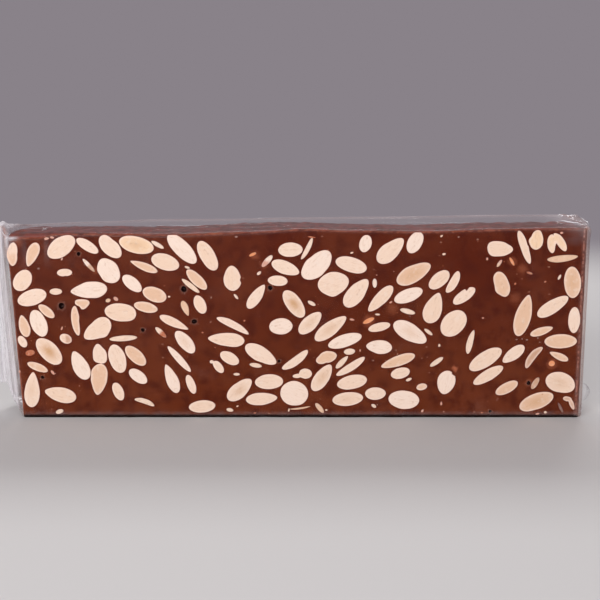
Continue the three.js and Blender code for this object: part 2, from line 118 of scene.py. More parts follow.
BULGE_SPREAD = 0.45           # radians to each side that a bulge of an outline takes up
CUT_CLEAR = 2.0               # pockets are cut from this far in front of a face
FACE_LUMPS = 2.2              # size of the lumps of a section's face
HALF_BLEND = 0.08             # two tones of a kernel blend over this share of its length, to each side
SECTION_SHARP = 50

# Crumbs and pits
CRUMB_DEPTH = 0.5
CRUMB_TIPS = (0, 0.3, 0.5)
SPECKS = 170
SPECK_SIZE = (0.3, 0.8)
SPECK_PROUD = 0.05
SPECK_TONES = ("dim", "dim", "rust", "rust", "rose", "grey")
PIT_GRAINS = 4
GRAIN_SIZE = (0.4, 0.8)
GRAIN_TONES = ("grey", "dim", "dim", "dim")
GRAIN_REACH = (1.25, 1.9)     # of the grains round a pit, in radii of the pit
PIT_FLOOR = 0.4               # radius of a pit's floor in the solids, as a share of its mouth's
PIT_WIDER = 1.15
PIT_ROUND = 1.2               # a pit's floor is this round, unlike a pocket that comes out at an edge
PIT_CORNERS = 18
PIT_PROFILE = [(0.0, 1.0), (0.45, 0.97), (0.9, 0.78), (1.2, 0.42)]  # depth and width, in radii of the mouth
PIT_BOTTOM = 1.35

# Sections of the back and the ends, which are placed by rule
MARGIN = 1.4
SPACING = 0.5
# Share of all, lengths, and widths as shares of the length
KINDS = [(0.50, (14, 20), (0.46, 0.66)), (0.25, (8, 14), (0.34, 0.62)), (0.25, (2.6, 7), (0.35, 0.7))]
TIPS = (0, 0.2, 0.4)          # how pointed one end of them is
BACK_COUNT = 128
END_COUNT = 17
TRIES = 60


def colour(red, green, blue):
    """Linear colour from sRGB values of 0 to 255."""
    def linear(value):
        share = value / 255
        return share / 12.92 if share <= 0.04045 else ((share + 0.055) / 1.055) ** 2.4
    return np.array([linear(red), linear(green), linear(blue)])


# What is particular to single pieces of the cut face. Places are X from the mark and height over the base.
TONES = {
    "pale": colour(243, 220, 203), "cream": colour(238, 208, 184), "tan": colour(229, 190, 160),
    "dusky": colour(204, 162, 136), "yellow": colour(241, 207, 173), "orange": colour(232, 152, 106),
    "rust": colour(184, 106, 74), "rose": colour(214, 160, 140), "grey": colour(140, 106, 98),
    "dim": colour(120, 64, 44), "core": colour(204, 156, 112),
}
TONED = {
    "orange": [(36.3, 53.5), (134.6, 29.9), (110.3, 85.2), (-24.6, 88.9)],
    "rust": [(-143.9, 35.8), (119.8, 79.1)],
    "tan": [
        (65.5, 16.8), (111.3, 16.2), (10.6, 4.8), (0.0, 4.8), (-87.7, 34.2), (-54.0, 75.6), (-81.4, 82.6),
        (52.4, 31.3), (138.5, 42.2), (59.0, 78.5), (14.0, 32.8), (136.5, 86.9), (117.9, 56.4),
        (142.6, 74.1), (-139.2, 88.8), (-81.2, 60.8), (-76.3, 67.6), (-100.9, 64.4), (128.0, 47.7),
        (127.7, 8.6), (-140.4, 27.9), (-107.9, 20.7), (-146.0, 50.5), (-118.4, 53.2), (-114.6, 62.9),
        (-60.4, 60.2), (-133.6, 58.6), (105.5, 73.4), (138.2, 33.9),
    ],
    "dusky": [(146.7, 7.4), (124.6, 33.4), (126.4, 18.8)],
    "grey": [(141.0, 5.0)],
    "yellow": [(122.3, 96.2), (134.6, 95.6), (-84.8, 93.9)],
    "cream": [(-66.6, 52.4), (-48.2, 88.6), (-70.2, 84.9), (-94.8, 58.0), (72.8, 75.5), (104.0, 91.8)],
    "rose": [(103.8, 84.2), (-96.8, 65.3)],
    "pale": [
        (-138.2, 52.0), (-86.9, 22.8), (-61.2, 91.9), (56.9, 67.1), (39.1, 73.7), (-3.1, 13.1),
        (-10.1, 50.4), (23.8, 42.5), (42.1, 39.1), (78.5, 19.2), (-111.2, 70.0), (-117.6, 28.8),
        (-68.9, 21.4), (-64.4, 32.3), (-61.1, 41.9), (-87.9, 73.6), (-99.7, 80.3), (58.1, 47.3),
        (8.6, 83.0), (33.9, 94.6), (59.5, 95.2), (-17.1, 85.4), (-110.1, 83.2), (56.1, 9.5),
    ],
}
# Tones that fill only the half that looks in this direction, in degrees
HALF_TONED = [
    (-17.1, 85.4, "rose", -115), (-73.8, 47.1, "rust", -45), (-110.1, 83.2, "dusky", -50),
    (-124.4, 43.6, "dusky", 0), (-149.0, 89.0, "tan", -80), (103.8, 84.2, "tan", -120),
]
# Kernels whose middle is darker, and how much
CORES = [
    (-133.7, 36.6, 0.95), (-3.2, 62.6, 0.95), (-32.6, 15.0, 0.45), (11.8, 22.0, 0.45), (127.7, 8.6, 0.5),
    (5.3, 52.2, 0.4), (16.1, 49.2, 0.4), (139.7, 19.4, 0.35), (-84.8, 93.9, 0.4), (142.6, 74.1, 0.35),
    (59.0, 78.5, 0.4), (-144.2, 15.1, 0.25), (58.1, 47.3, 0.3), (25.6, 9.9, 0.25), (-61.1, 41.9, 0.3),
]
# Where an outline bulges or, with a minus, is flat: directions in degrees, and by how much
BULGES = [
    (8.6, 83.0, [(48, 1.3), (215, 0.9), (120, -0.3), (320, -0.3)]), (139.7, 19.4, [(325, 0.8)]),
    (17.4, 73.5, [(270, 0.9), (20, 0.5), (185, 0.4), (320, -0.2)]),
    (-123.9, 92.8, [(30, 0.7), (215, 0.5)]), (26.4, 83.6, [(345, 0.6), (315, 0.5)]),
    (29.2, 67.9, [(50, 1.2), (100, 0.3)]), (42.3, 65.3, [(60, 0.4), (235, 0.5)]),
    (59.0, 78.5, [(35, 0.9), (150, 0.3)]), (58.1, 47.3, [(325, 0.9), (150, 0.4)]),
    (46.8, 90.8, [(40, 0.7), (110, -0.2)]), (14.0, 32.8, [(90, 0.9), (50, 0.7), (130, 0.7), (270, -0.5)]),
    (25.6, 9.9, [(0, 0.4)]), (-98.4, 92.6, [(110, 0.9), (20, 0.3)]),
    (-99.7, 80.3, [(180, 0.5), (240, 0.6), (45, 0.3)]),
    (-111.2, 70.0, [(15, 0.7), (330, 0.6), (160, -0.3)]),
    (-114.6, 62.9, [(265, 1.1), (300, 0.6), (225, -0.4), (150, 0.5), (20, 0.5)]),
    (-118.4, 53.2, [(60, 0.7), (100, 0.4)]),
    (-107.3, 48.7, [(60, 0.5), (320, 0.8), (200, 0.3), (130, -0.3)]),
    (-94.8, 58.0, [(330, 0.7), (30, 0.4), (180, 0.2)]),
    (-106.9, 35.6, [(300, 0.7), (235, 0.7), (60, -0.3)]),
    (-107.9, 20.7, [(120, 0.8), (60, 0.8), (180, 0.3)]),
    (-149.0, 89.0, [(-35, -0.3), (0, -0.4), (35, -0.2), (110, 0.3), (135, 0.4),
                    (160, 0.4), (185, 0.4), (210, 0.4), (235, 0.2)]),
    (-139.2, 88.8, [(45, 0.5)]), (-48.2, 88.6, [(310, 0.6), (285, 0.5)]),
    (-61.1, 41.9, [(300, 0.8), (130, 0.4)]), (-39.4, 43.2, [(330, 0.7), (30, 0.3)]),
    (-20.6, 36.6, [(320, 0.8), (150, 0.4)]), (-32.6, 15.0, [(55, 0.5)]),
    (104.0, 91.8, [(150, 0.9), (215, 0.7), (30, -0.3), (330, -0.2)]),
    (105.5, 73.4, [(295, 0.6), (325, 0.4), (240, 0.8), (140, 0.3)]),
    (122.3, 96.2, [(75, 0.9), (140, -0.6), (180, 0.4)]), (132.9, 61.0, [(35, 0.7), (200, 0.3)]),
    (113.8, 35.1, [(40, 0.5), (215, 0.4)]), (127.7, 8.6, [(215, 0.7), (20, 0.5)]),
    (99.1, 32.3, [(60, 0.3), (220, 0.6)]), (134.6, 95.6, [(105, -0.3)]),
    (118.3, 90.3, [(105, 1.5), (20, 0.3), (285, 0.3)]),
]
# Bites out of outlines: place and radius
NOTCHES = [
    (-122.9, 77.0, 0.9), (-29.9, 75.4, 1.5), (82.6, 23.6, 1.3), (87.6, 70.6, 1.0), (-138.2, 24.4, 0.7),
]
# Crumbs: place, length, width and turn in degrees
CRUMBS = {
    "cream": [
        (-68.7, 66.5, 1.5, 1.2, 0), (26.9, 89.8, 1.9, 1.1, 20), (74.8, 89.1, 2.0, 1.5, 10),
        (73.2, 98.6, 1.7, 1.3, 40), (14.3, 3.7, 1.5, 1.2, 0), (-33.8, 5.9, 1.5, 1.1, 30),
        (133.0, 2.4, 1.8, 1.7, 0), (74.1, 40.0, 1.9, 1.5, 90), (40.9, 56.9, 2.8, 1.2, -5),
        (-6.0, 3.8, 2.2, 1.1, 80),
    ],
    "rose": [
        (-132.5, 24.9, 3.2, 1.6, -55), (-126.1, 49.4, 2.4, 1.1, 65), (27.5, 54.1, 2.8, 1.4, -10),
        (76.3, 7.5, 2.5, 1.4, 90), (66.3, 3.2, 2.0, 1.4, 60), (128.7, 1.5, 2.4, 1.1, 10),
        (135.2, 100.2, 1.9, 1.5, 0), (-131.0, 97.2, 2.9, 1.8, 10), (-128.2, 97.8, 2.4, 1.3, -10),
        (97.3, 86.6, 1.7, 1.3, 90), (-123.8, 86.5, 1.7, 1.1, 60), (47.8, 63.5, 2.0, 1.3, 30),
        (32.0, 37.2, 1.6, 0.9, 90), (-150.2, 25.5, 1.5, 1.3, 80),
    ],
    "rust": [
        (6.1, 98.0, 4.5, 1.0, -8), (-51.7, 47.0, 1.3, 0.9, 0), (-29.4, 53.5, 1.3, 1.0, 40),
        (112.6, 73.4, 1.5, 1.1, 70), (128.3, 74.5, 1.4, 1.0, 30), (96.6, 55.0, 1.4, 1.1, 0),
        (-24.4, 2.0, 1.6, 1.0, 10), (98.5, 2.2, 1.5, 1.0, 0), (130.5, 12.8, 1.3, 1.0, 0),
    ],
    "grey": [
        (-33.0, 98.2, 1.8, 1.0, 0), (115.0, 43.2, 1.2, 0.8, 0), (118.0, 43.5, 1.0, 0.8, 0),
        (120.5, 43.0, 1.3, 0.9, 0), (126.3, 44.0, 1.1, 0.8, 0), (127.5, 41.7, 1.0, 0.8, 0),
        (-136.3, 81.5, 1.5, 1.1, 20),
    ],
    "dim": [
        (-73.2, 40.5, 1.5, 1.1, 0), (-73.2, 33.2, 1.3, 1.0, 0), (-47.2, 52.7, 1.4, 1.0, 50),
        (-29.5, 76.4, 1.3, 1.0, 0), (-46.7, 66.1, 1.5, 1.0, 80), (39.0, 31.6, 1.4, 1.1, 0),
        (51.1, 37.3, 1.3, 1.0, 0), (67.3, 38.9, 1.4, 1.0, 30), (68.0, 33.4, 1.3, 1.0, 0),
        (69.3, 24.8, 1.4, 1.1, 0), (11.4, 98.3, 1.5, 1.0, 0), (129.6, 82.3, 1.4, 1.0, 0),
        (131.0, 67.8, 1.3, 1.0, 0), (116.0, 76.0, 1.3, 0.9, 0), (106.7, 10.1, 1.4, 1.0, 0),
        (11.0, 10.0, 1.2, 1.0, 0), (-16.5, 1.7, 1.5, 0.9, 0), (73.0, 95.3, 1.3, 1.0, 0),
        (82.0, 98.1, 1.3, 0.9, 0), (72.4, 88.3, 1.2, 0.9, 0), (91.8, 96.8, 1.3, 1.0, 0),
        (38.5, 81.0, 1.3, 1.0, 0), (94.4, 2.6, 1.5, 1.0, 0), (120.0, 69.0, 1.6, 1.2, 0),
    ],
}
# Spots of the nougat: place, radius, tone and strength
STAINS = [
    (82.9, 26.8, 2.4, "rust", 0.75), (123.0, 19.4, 3.4, "rust", 0.35), (116.0, 81.5, 4.0, "rust", 0.3),
    (134.6, 29.9, 4.0, "rust", 0.55), (36.3, 53.5, 4.6, "rust", 0.5), (110.3, 85.2, 3.4, "rust", 0.4),
    (-23.6, 88.4, 3.4, "rust", 0.4), (-19.0, 83.5, 3.2, "rust", 0.4), (48.5, 60.0, 4.5, "rust", 0.25),
    (-107.0, 80.5, 3.0, "rust", 0.35), (113.0, 66.0, 4.5, "rust", 0.22), (-146.5, 95.0, 4.0, "rust", 0.3),
]


# ---------------- What the solids say ----------------

def node_mesh(name):
    """Welded points in millimetres and triangles of a CAD node."""
    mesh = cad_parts[name].data
    mesh.calc_loop_triangles()
    corners = np.empty(len(mesh.loop_triangles) * 3, int)
    mesh.loop_triangles.foreach_get("vertices", corners)
    places = places_of(mesh)
    _, first, same = np.unique(places.round(3), axis=0, return_index=True, return_inverse=True)
    return places[first], same.reshape(-1)[corners].reshape(-1, 3)


def places_of(mesh):
    """Points of a mesh in millimetres."""
    places = np.empty(len(mesh.vertices) * 3)
    mesh.vertices.foreach_get("co", places)
    return places.reshape(-1, 3) / MM


def boundary_loops(triangles):
    """Closed loops of point numbers round a set of triangles."""
    edges = {(int(t[k]), int(t[(k + 1) % 3])) for t in triangles for k in range(3)}
    follow = {a: b for a, b in edges if (b, a) not in edges}
    loops = []
    while follow:
        start, at = follow.popitem()
        loop = [start]
        while at != start:
            loop.append(at)
            at = follow.pop(at)
        loops.append(loop)
    return loops


def flat_loops(points, triangles, low, high):
    """X and Z of the outlines of the flat stretches that lie across Y between low and high."""
    depth = points[triangles][:, :, 1]
    flat = (np.ptp(depth, axis=1) < LEVEL) & (depth.mean(axis=1) > low) & (depth.mean(axis=1) < high)
    return [points[loop][:, [0, 2]] for loop in boundary_loops(triangles[flat])]


MASS_POINTS, MASS_TRIANGLES = node_mesh("nougat")
FRONT = MASS_POINTS[:, 1].min() + PROUD_IN_CAD
BACK = MASS_POINTS[:, 1].max()
BASE = MASS_POINTS[:, 2].min()
MIDDLE_Y = (FRONT + BACK) / 2
HALF_DEPTH = (BACK - FRONT) / 2


def bar_measures():
    """Lean of the ends, X of the bar's middle at its base, and half its length."""
    front = max(flat_loops(MASS_POINTS, MASS_TRIANGLES, FRONT - LEVEL, FRONT + LEVEL), key=np.ptp)
    low_left, high_left, low_right = (front[np.argmin(front @ way)] for way in ((1, 1), (1, -1), (-1, 1)))
    lean = (low_left[0] - high_left[0]) / (high_left[1] - low_left[1])
    bevel = MASS_POINTS[:, 2][np.isclose(MASS_POINTS[:, 1], FRONT, atol=LEVEL)].min() - BASE
    middle = (low_left[0] + low_right[0]) / 2 + lean * bevel
    return lean, middle, (low_right[0] - low_left[0]) / 2 + bevel


LEAN, MIDDLE_X, HALF_LENGTH = bar_measures()
MARK_X = MIDDLE_X - HALF_LENGTH + MARK


def from_mark(flat):
    """X and Z of the part's frame as X from the mark and height over the base."""
    return flat - [MARK_X, BASE]


MASS_TREE = BVHTree.FromPolygons([Vector(p) for p in MASS_POINTS], MASS_TRIANGLES.tolist())


def cad_top(x, y):
    """Height of the solid mass over the floor at X and Y."""
    hit = MASS_TREE.ray_cast(Vector((x, y, OUTSIDE)), Vector((0, 0, -1)))[0]
    return hit.z if hit else BASE


# ---------------- Meshes ----------------

class Builder:
    """Gathers points in millimetres, faces and values for each point into one mesh."""

    def __init__(self):
        self.points, self.faces, self.values, self.count = [], [], {}, 0

    def add(self, points, faces, **values):
        self.faces.extend([[self.count + i for i in face] for face in faces])
        self.points.append(np.asarray(points, float))
        for name, given in values.items():
            self.values.setdefault(name, []).append(np.asarray(given, float))
        self.count += len(points)

    def build(self, name, material=None, sharp=None):
        mesh = bpy.data.meshes.new(name)
        mesh.from_pydata((np.concatenate(self.points) * MM).tolist(), [], self.faces)
        for key, parts in self.values.items():
            set_values(mesh, key, np.concatenate(parts))
        surface(mesh, material, sharp)
        return place_object(name, mesh)


def set_values(mesh, name, values):
    """Gives each point a number or a vector that the materials read."""
    kind, key = ("FLOAT", "value") if values.ndim == 1 else ("FLOAT_VECTOR", "vector")
    mesh.attributes.new(name, kind, "POINT").data.foreach_set(key, values.astype(np.float32).ravel())


def surface(mesh, material, sharp):
    """Gives a mesh its material and smooth shading, except where it bends by more than sharp degrees."""
    if material:
        mesh.materials.append(material)
    mesh.shade_smooth()
    if sharp:
        mesh.set_sharp_from_angle(angle=math.radians(sharp))


def place_object(name, data):
    ob = bpy.data.objects.new(name, data)
    bpy.context.scene.collection.objects.link(ob)
    return ob


def rough(points, size, seed=0.0):
    """Smooth noise of about -1 to 1, whose lumps are size millimetres wide."""
    shift = Vector((seed, 2.3 * seed, -1.7 * seed))
    return np.array([noise.noise(Vector(p) / size + shift) for p in points])


def mix(a, b, share):
    return a + (b - a) * share


def smoothstep(low, high, values):
    share = np.clip((values - low) / (high - low), 0, 1)
    return share * share * (3 - 2 * share)


def near_line(reach, width):
    """1 where reach is 0, and hardly anything beyond twice the width."""
    return np.exp(-((reach / width) ** 2))


def nearest(places, targets):
    """Distance from each place to the nearest target, in the plane or in space."""
    places, targets = (np.pad(p, ((0, 0), (0, 3 - p.shape[1]))) for p in (places, targets))
    tree = KDTree(len(targets))
    for i, target in enumerate(targets):
        tree.insert(target, i)
    tree.balance()
    return np.array([tree.find(place)[2] for place in places])


def lattice(xs, ys, zs):
    """Points and faces of the surface of a box whose lattice has these coordinates."""
    numbers = -np.ones((len(xs), len(ys), len(zs)), int)
    outer = np.zeros(numbers.shape, bool)
    for axis in range(3):
        for end in (0, -1):
            outer[tuple(end if k == axis else slice(None) for k in range(3))] = True
    numbers[outer] = np.arange(outer.sum())
    grid = np.stack(np.meshgrid(xs, ys, zs, indexing="ij"), axis=-1)
    faces = []
    for axis in range(3):
        for end in (0, -1):
            sheet = numbers.take(end, axis=axis)
            quads = np.stack([sheet[:-1, :-1], sheet[1:, :-1], sheet[1:, 1:], sheet[:-1, 1:]], axis=-1)
            turned = (end == 0) != (axis == 1)
            faces.append(quads.reshape(-1, 4)[:, ::-1] if turned else quads.reshape(-1, 4))
    return grid[outer], np.concatenate(faces)


def graded(low, high, step, edge):
    """Coordinates from low to high, close together within edge of both."""
    near = edge * np.array(EDGE_STEPS)
    count = max(2, round((high - low - 2 * edge) / step))
    between = np.linspace(low + edge, high - edge, count + 1)
    return np.concatenate([low + near[:-1], between, high - near[-2::-1]])


def catmull_rom(a, b, c, d, share):
    """Points between b and c on the curve that also goes through a and d."""
    return 0.5 * (2 * b + (c - a) * share + (2 * a - 5 * b + 4 * c - d) * share**2
                  + (3 * b - a - 3 * c + d) * share**3)


def closed_curve(corners, count):
    """count points on the closed curve through the corners."""
    at = np.arange(count) * len(corners) / count
    first = at.astype(int)
    a, b, c, d = (corners[(first + k) % len(corners)] for k in (-1, 0, 1, 2))
    return catmull_rom(a, b, c, d, (at - first)[:, None])


def open_curve(corners, step):
    """Points about step apart on the curve through the corners."""
    corners = np.array(corners, float)
    padded = np.concatenate([2 * corners[:1] - corners[1:2], corners, 2 * corners[-1:] - corners[-2:-1]])
    stretches = []
    for a, b, c, d in zip(padded, padded[1:], padded[2:], padded[3:]):
        count = max(2, round(np.linalg.norm(c - b) / step) + 1)
        stretches.append(catmull_rom(a, b, c, d, np.linspace(0, 1, count)[:-1, None]))
    return np.concatenate([*stretches, corners[-1:]])


def uneven(angle, draw, waves):
    """Sum of some waves around a closed outline, which start anywhere."""
    return sum(np.sin(k * angle + draw.uniform(0, math.tau)) / k for k in waves)


def stack_faces(count, rings):
    """Faces over rings of count points each, closed by a point before the first and one after the last."""
    start = 1
    faces = [[0, start + i, start + (i + 1) % count] for i in range(count)]
    for ring in range(rings - 1):
        near = start + ring * count
        far = near + count
        faces += [[near + i, far + i, far + (i + 1) % count, near + (i + 1) % count] for i in range(count)]
    last = start + (rings - 1) * count
    faces += [[last + i, last + count, last + (i + 1) % count] for i in range(count)]
    return faces


def stack(middle, rings, first, last):
    """Flat points and depths of such rings, given as (points, depth), and of the points that close them."""
    flat = np.concatenate([[middle], *[ring for ring, _ in rings], [middle]])
    depths = np.concatenate([[first], *[np.full(len(ring), depth) for ring, depth in rings], [last]])
    return flat, depths


# ---------------- Sections of kernels and chips ----------------

class Face:
    """A flat side of the bar: points are given along it, up it and inwards from it."""

    def __init__(self, origin, along, outward, leans):
        self.origin, self.along, self.outward = (np.array(v, float) for v in (origin, along, outward))
        self.leans = leans

    def place(self, flat, depth):
        points = self.origin + np.outer(flat[:, 0], self.along) - np.outer(depth, self.outward)
        points[:, 2] += flat[:, 1]
        if self.leans:
            points[:, 0] -= LEAN * (points[:, 2] - BASE)
        return points


FRONT_FACE = Face((MARK_X, FRONT, BASE), (1, 0, 0), (0, -1, 0), leans=False)
BACK_FACE = Face((MIDDLE_X, BACK, BASE), (-1, 0, 0), (0, 1, 0), leans=True)
LEFT_FACE = Face((MIDDLE_X - HALF_LENGTH, MIDDLE_Y, BASE), (0, -1, 0), (-1, 0, 0), leans=True)
RIGHT_FACE = Face((MIDDLE_X + HALF_LENGTH, MIDDLE_Y, BASE), (0, 1, 0), (1, 0, 0), leans=True)
TONED_ROWS = [(*place, tone) for tone, places in TONED.items() for place in places]


class Section:
    """A kernel or chip where it shows at a side: a worn outline round its corners, and its own axes."""

    def __init__(self, corners, draw):
        around = np.linalg.norm(np.roll(corners, -1, axis=0) - corners, axis=1).sum()
        count = int(np.clip(around / OUTLINE_STEP, *OUTLINE_COUNT))
        curve = closed_curve(corners, count)
        self.middle = curve.mean(axis=0)
        spokes = curve - self.middle
        wear = uneven(np.arctan2(spokes[:, 1], spokes[:, 0]), draw, OUTLINE_WAVES)
        self.outline = self.middle + spokes * (1 + OUTLINE_WEAR * (wear - 1))[:, None]
        _, axes = np.linalg.eigh(np.cov(spokes.T))
        self.axis = axes[:, 1]
        self.cross = np.array([-self.axis[1], self.axis[0]])
        self.length = np.ptp(spokes @ self.axis)
        self.width = np.ptp(spokes @ self.cross)
        self.seed = draw.uniform(0, 40)
        self.tone = mix(TONES["pale"], TONES["cream"], draw.uniform(0.5, 1))
        self.core, self.half_tone, self.half_way = 0.0, self.tone, np.zeros(2)

    def particular(self):
        """Takes over what the lists above say of this section."""
        for row in own_rows(TONED_ROWS, self.middle):
            self.tone = self.half_tone = TONES[row[2]]
        for row in own_rows(HALF_TONED, self.middle):
            turn = math.radians(row[3])
            self.half_tone, self.half_way = TONES[row[2]], np.array([math.cos(turn), math.sin(turn)])
        for row in own_rows(CORES, self.middle):
            self.core = row[2]
        for row in own_rows(BULGES, self.middle):
            for turn, push in row[2]:
                self.bulge(math.radians(turn), push)
        for x, z, radius in NOTCHES:
            self.bite(np.array([x, z]), radius)
        return self

    def kept_under(self, top):
        """Ends the outline below the cut face's upper edge."""
        edge = top.front(self.outline[:, 0] + MARK_X - MIDDLE_X + LEAN * self.outline[:, 1])
        self.outline[:, 1] = np.minimum(self.outline[:, 1], edge - UNDER_EDGE)
        return self

    def bulge(self, turn, push):
        """Lets the outline out by push where it looks in one direction."""
        spokes = self.outline - self.middle
        reach = np.linalg.norm(spokes, axis=1)
        away = np.angle(np.exp(1j * (np.arctan2(spokes[:, 1], spokes[:, 0]) - turn)))
        self.outline += spokes * (push * near_line(away, BULGE_SPREAD) / reach)[:, None]

    def bite(self, place, radius):
        """Draws the outline in where it comes within radius of the place."""
        away = self.outline - place
        reach = np.linalg.norm(away, axis=1)
        inward = self.middle - place
        inward /= np.linalg.norm(inward)
        outside = np.minimum(away @ inward, 0)
        turned = away - 2 * np.outer(outside, inward)
        near = (reach < radius) & (reach > 0)
        self.outline[near] = place + turned[near] * (radius / reach[near])[:, None]

    def inset(self, by):
        """The outline drawn in, or let out where by is negative."""
        ahead = np.roll(self.outline, -1, axis=0) - np.roll(self.outline, 1, axis=0)
        inward = np.stack([-ahead[:, 1], ahead[:, 0]], axis=1)
        return self.outline + by * inward / np.linalg.norm(inward, axis=1)[:, None]

    def tint(self, flat):
        """Colour of each point of the section."""
        spokes = flat - self.middle
        along, across = spokes @ self.axis / self.length, spokes @ self.cross / self.width
        core = self.core * np.exp(-((along / CORE_REACH[0]) ** 2) - (across / CORE_REACH[1]) ** 2)
        half = smoothstep(-HALF_BLEND, HALF_BLEND, spokes @ self.half_way / self.length)
        tint = mix(np.tile(self.tone, (len(flat), 1)), self.half_tone, half[:, None])
        return mix(tint, TONES["core"], core[:, None])


def own_rows(rows, middle):
    """The row of a list that speaks of the section with this middle, as a list of one or none."""
    away = [math.hypot(row[0] - middle[0], row[1] - middle[1]) for row in rows]
    nearest_row = int(np.argmin(away))
    return [rows[nearest_row]] if away[nearest_row] < SAME_PLACE else []


def add_section(builder, face, section, depth, proud=PROUD):
    """A kernel or chip whose rounded face shows at the side and whose body goes depth into the nougat."""
    edge = min(ROUND_OFF[0], ROUND_OFF[1] * section.width)
    inner = section.inset(edge)
    shares = FACE_RINGS if section.width > NARROW else FEW_RINGS
    rings = [(section.middle + share * (inner - section.middle), -proud) for share in shares]
    rings += [(section.inset(0.3 * edge), -0.6 * proud)]
    rings += [(section.outline, min(RIM_DEPTH[0], RIM_DEPTH[1] * depth))]
    rings += [(section.inset(share * section.width), part * depth) for part, share in BODY_RINGS]
    flat, levels = stack(section.middle, rings, -proud, depth)
    shown = levels < 0
    spokes = flat - section.middle
    along, across = spokes @ section.axis, spokes @ section.cross
    local = np.stack([along, across, np.full(len(flat), section.seed)], axis=1)
    levels[shown] -= 0.5 * proud * rough(local[shown] * [0.6, 1, 1], FACE_LUMPS)
    rim = nearest(flat, section.outline) + (NO_RIM if section.width < SMALL else 0)
    builder.add(face.place(flat, levels), stack_faces(len(section.outline), len(rings)),
                grain=local, rim=rim, tint=section.tint(flat))


def inlay(builder, face, section, depth):
    """Adds a section to a piece, and returns the room that it takes out of the nougat."""
    add_section(builder, face, section, depth)
    outline, floor = section.inset(-POCKET_GAP), depth + POCKET_DEEPER
    flat, levels = stack(section.middle, [(outline, -CUT_CLEAR), (outline, floor)], -CUT_CLEAR, floor)
    room = Builder()
    room.add(face.place(flat, levels), stack_faces(len(outline), 2))
    return room.build("pocket")


def oval(length, width, turn, tip):
    """Corners of a kernel's section about its middle, pointed by tip at one end."""
    angle = np.arange(16) / 16 * math.tau
    taper = 1 - tip * ((1 + np.cos(angle)) / 2) ** 2
    along, across = length / 2 * np.cos(angle), width / 2 * np.sin(angle) * taper
    c, s = math.cos(turn), math.sin(turn)
    return np.stack([along * c - across * s, along * s + across * c], axis=1)


def scattered_sections(half_width, height, count, seed):
    """Sections on a side that the solids leave plain: the large ones first, none over another."""
    draw = random.Random(seed)
    sections, taken = [], []
    sizes = []
    for share, lengths, widths in KINDS:
        for _ in range(round(share * count)):
            length = draw.uniform(*lengths)
            sizes.append((length, length * draw.uniform(*widths)))
    for length, width in sizes:
        for _ in range(TRIES):
            turn = draw.uniform(0, math.tau)
            way = np.array([math.cos(turn), math.sin(turn)])
            reach, rise = np.maximum(abs(way) * length, width) / 2 + MARGIN
            middle = np.array([draw.uniform(reach - half_width, half_width - reach),
                               draw.uniform(rise, height - rise)])
            run = way * (length - width) / 2
            spots = [(middle + run * k / 2, width / 2) for k in (-2, -1, 0, 1, 2)]
            if all(np.hypot(*(a - b)) > r + s + SPACING for a, r in spots for b, s in taken):
                taken += spots
                sections.append(Section(middle + oval(length, width, turn, draw.choice(TIPS)), draw))
                break
    return sections


# ---------------- Crumbs and pits of the cut face ----------------

def add_crumb(builder, place, length, width, turn, tone, proud, draw):
    corners = np.array(place) + oval(length, width, math.radians(turn), draw.choice(CRUMB_TIPS))
    section = Section(corners, draw)
    section.tone = section.half_tone = TONES[tone]
    add_section(builder, FRONT_FACE, section, CRUMB_DEPTH, proud)


def add_speck(builder, place, sizes, slimmest, tones, draw):
    """A crumb of any size, turn and tone out of what is given."""
    length = draw.uniform(*sizes)
    add_crumb(builder, place, length, length * draw.uniform(slimmest, 1), draw.uniform(0, 180),
              draw.choice(tones), SPECK_PROUD, draw)


def crumbs(material, pits):
    """The crumbs that can be told apart, the grains round each pit, and fine specks all over the cut face."""
    draw = random.Random(23)
    builder = Builder()
    for tone, rows in CRUMBS.items():
        for x, z, length, width, turn in rows:
            add_crumb(builder, (x, z), length, width, turn, tone, PROUD, draw)
    for x, z, radius in pits:
        for k in range(PIT_GRAINS):
            angle = math.tau * (k + draw.uniform(0, 0.8)) / PIT_GRAINS
            reach = radius * draw.uniform(*GRAIN_REACH)
            place = (x + reach * math.cos(angle), z + reach * math.sin(angle))
            add_speck(builder, place, GRAIN_SIZE, 0.6, GRAIN_TONES, draw)
    for _ in range(SPECKS):
        place = (draw.uniform(2 - MARK, MARK - 2), draw.uniform(1, 99))
        add_speck(builder, place, SPECK_SIZE, 0.5, SPECK_TONES, draw)
    return builder.build("crumbs", material, SECTION_SHARP)


def front_pits():
    """X and height of the pits in the solid's cut face, and the radius of their mouths."""
    pits = []
    for floor in flat_loops(MASS_POINTS, MASS_TRIANGLES, FRONT + PIT_DEPTHS[0], FRONT + PIT_DEPTHS[1]):
        middle = floor.mean(axis=0)
        reach = np.linalg.norm(floor - middle, axis=1)
        if reach.max() < PIT_ROUND * reach.min():
            pits.append((*from_mark(middle), PIT_WIDER * reach.mean() / PIT_FLOOR))
    return sorted(pits)


def pit_room(pit, draw):
    """The room of an air bubble that the cut has opened: a round hollow with an uneven mouth."""
    x, z, radius = pit
    angle = np.arange(PIT_CORNERS) / PIT_CORNERS * math.tau
    wear = 0.9 + 0.12 * uneven(angle, draw, (2, 3, 5))
    mouth = np.stack([np.cos(angle), np.sin(angle)], axis=1) * (radius * wear)[:, None]
    profile = [(-CUT_CLEAR, 1.0)] + [(depth * radius, share) for depth, share in PIT_PROFILE]
    rings = [(share * mouth + (x, z), depth) for depth, share in profile]
    flat, depths = stack((x, z), rings, -CUT_CLEAR, PIT_BOTTOM * radius)
    room = Builder()
    room.add(FRONT_FACE.place(flat, depths), stack_faces(PIT_CORNERS, len(rings)))
    return room.build("pit")


# ---------------- Nougat mass ----------------

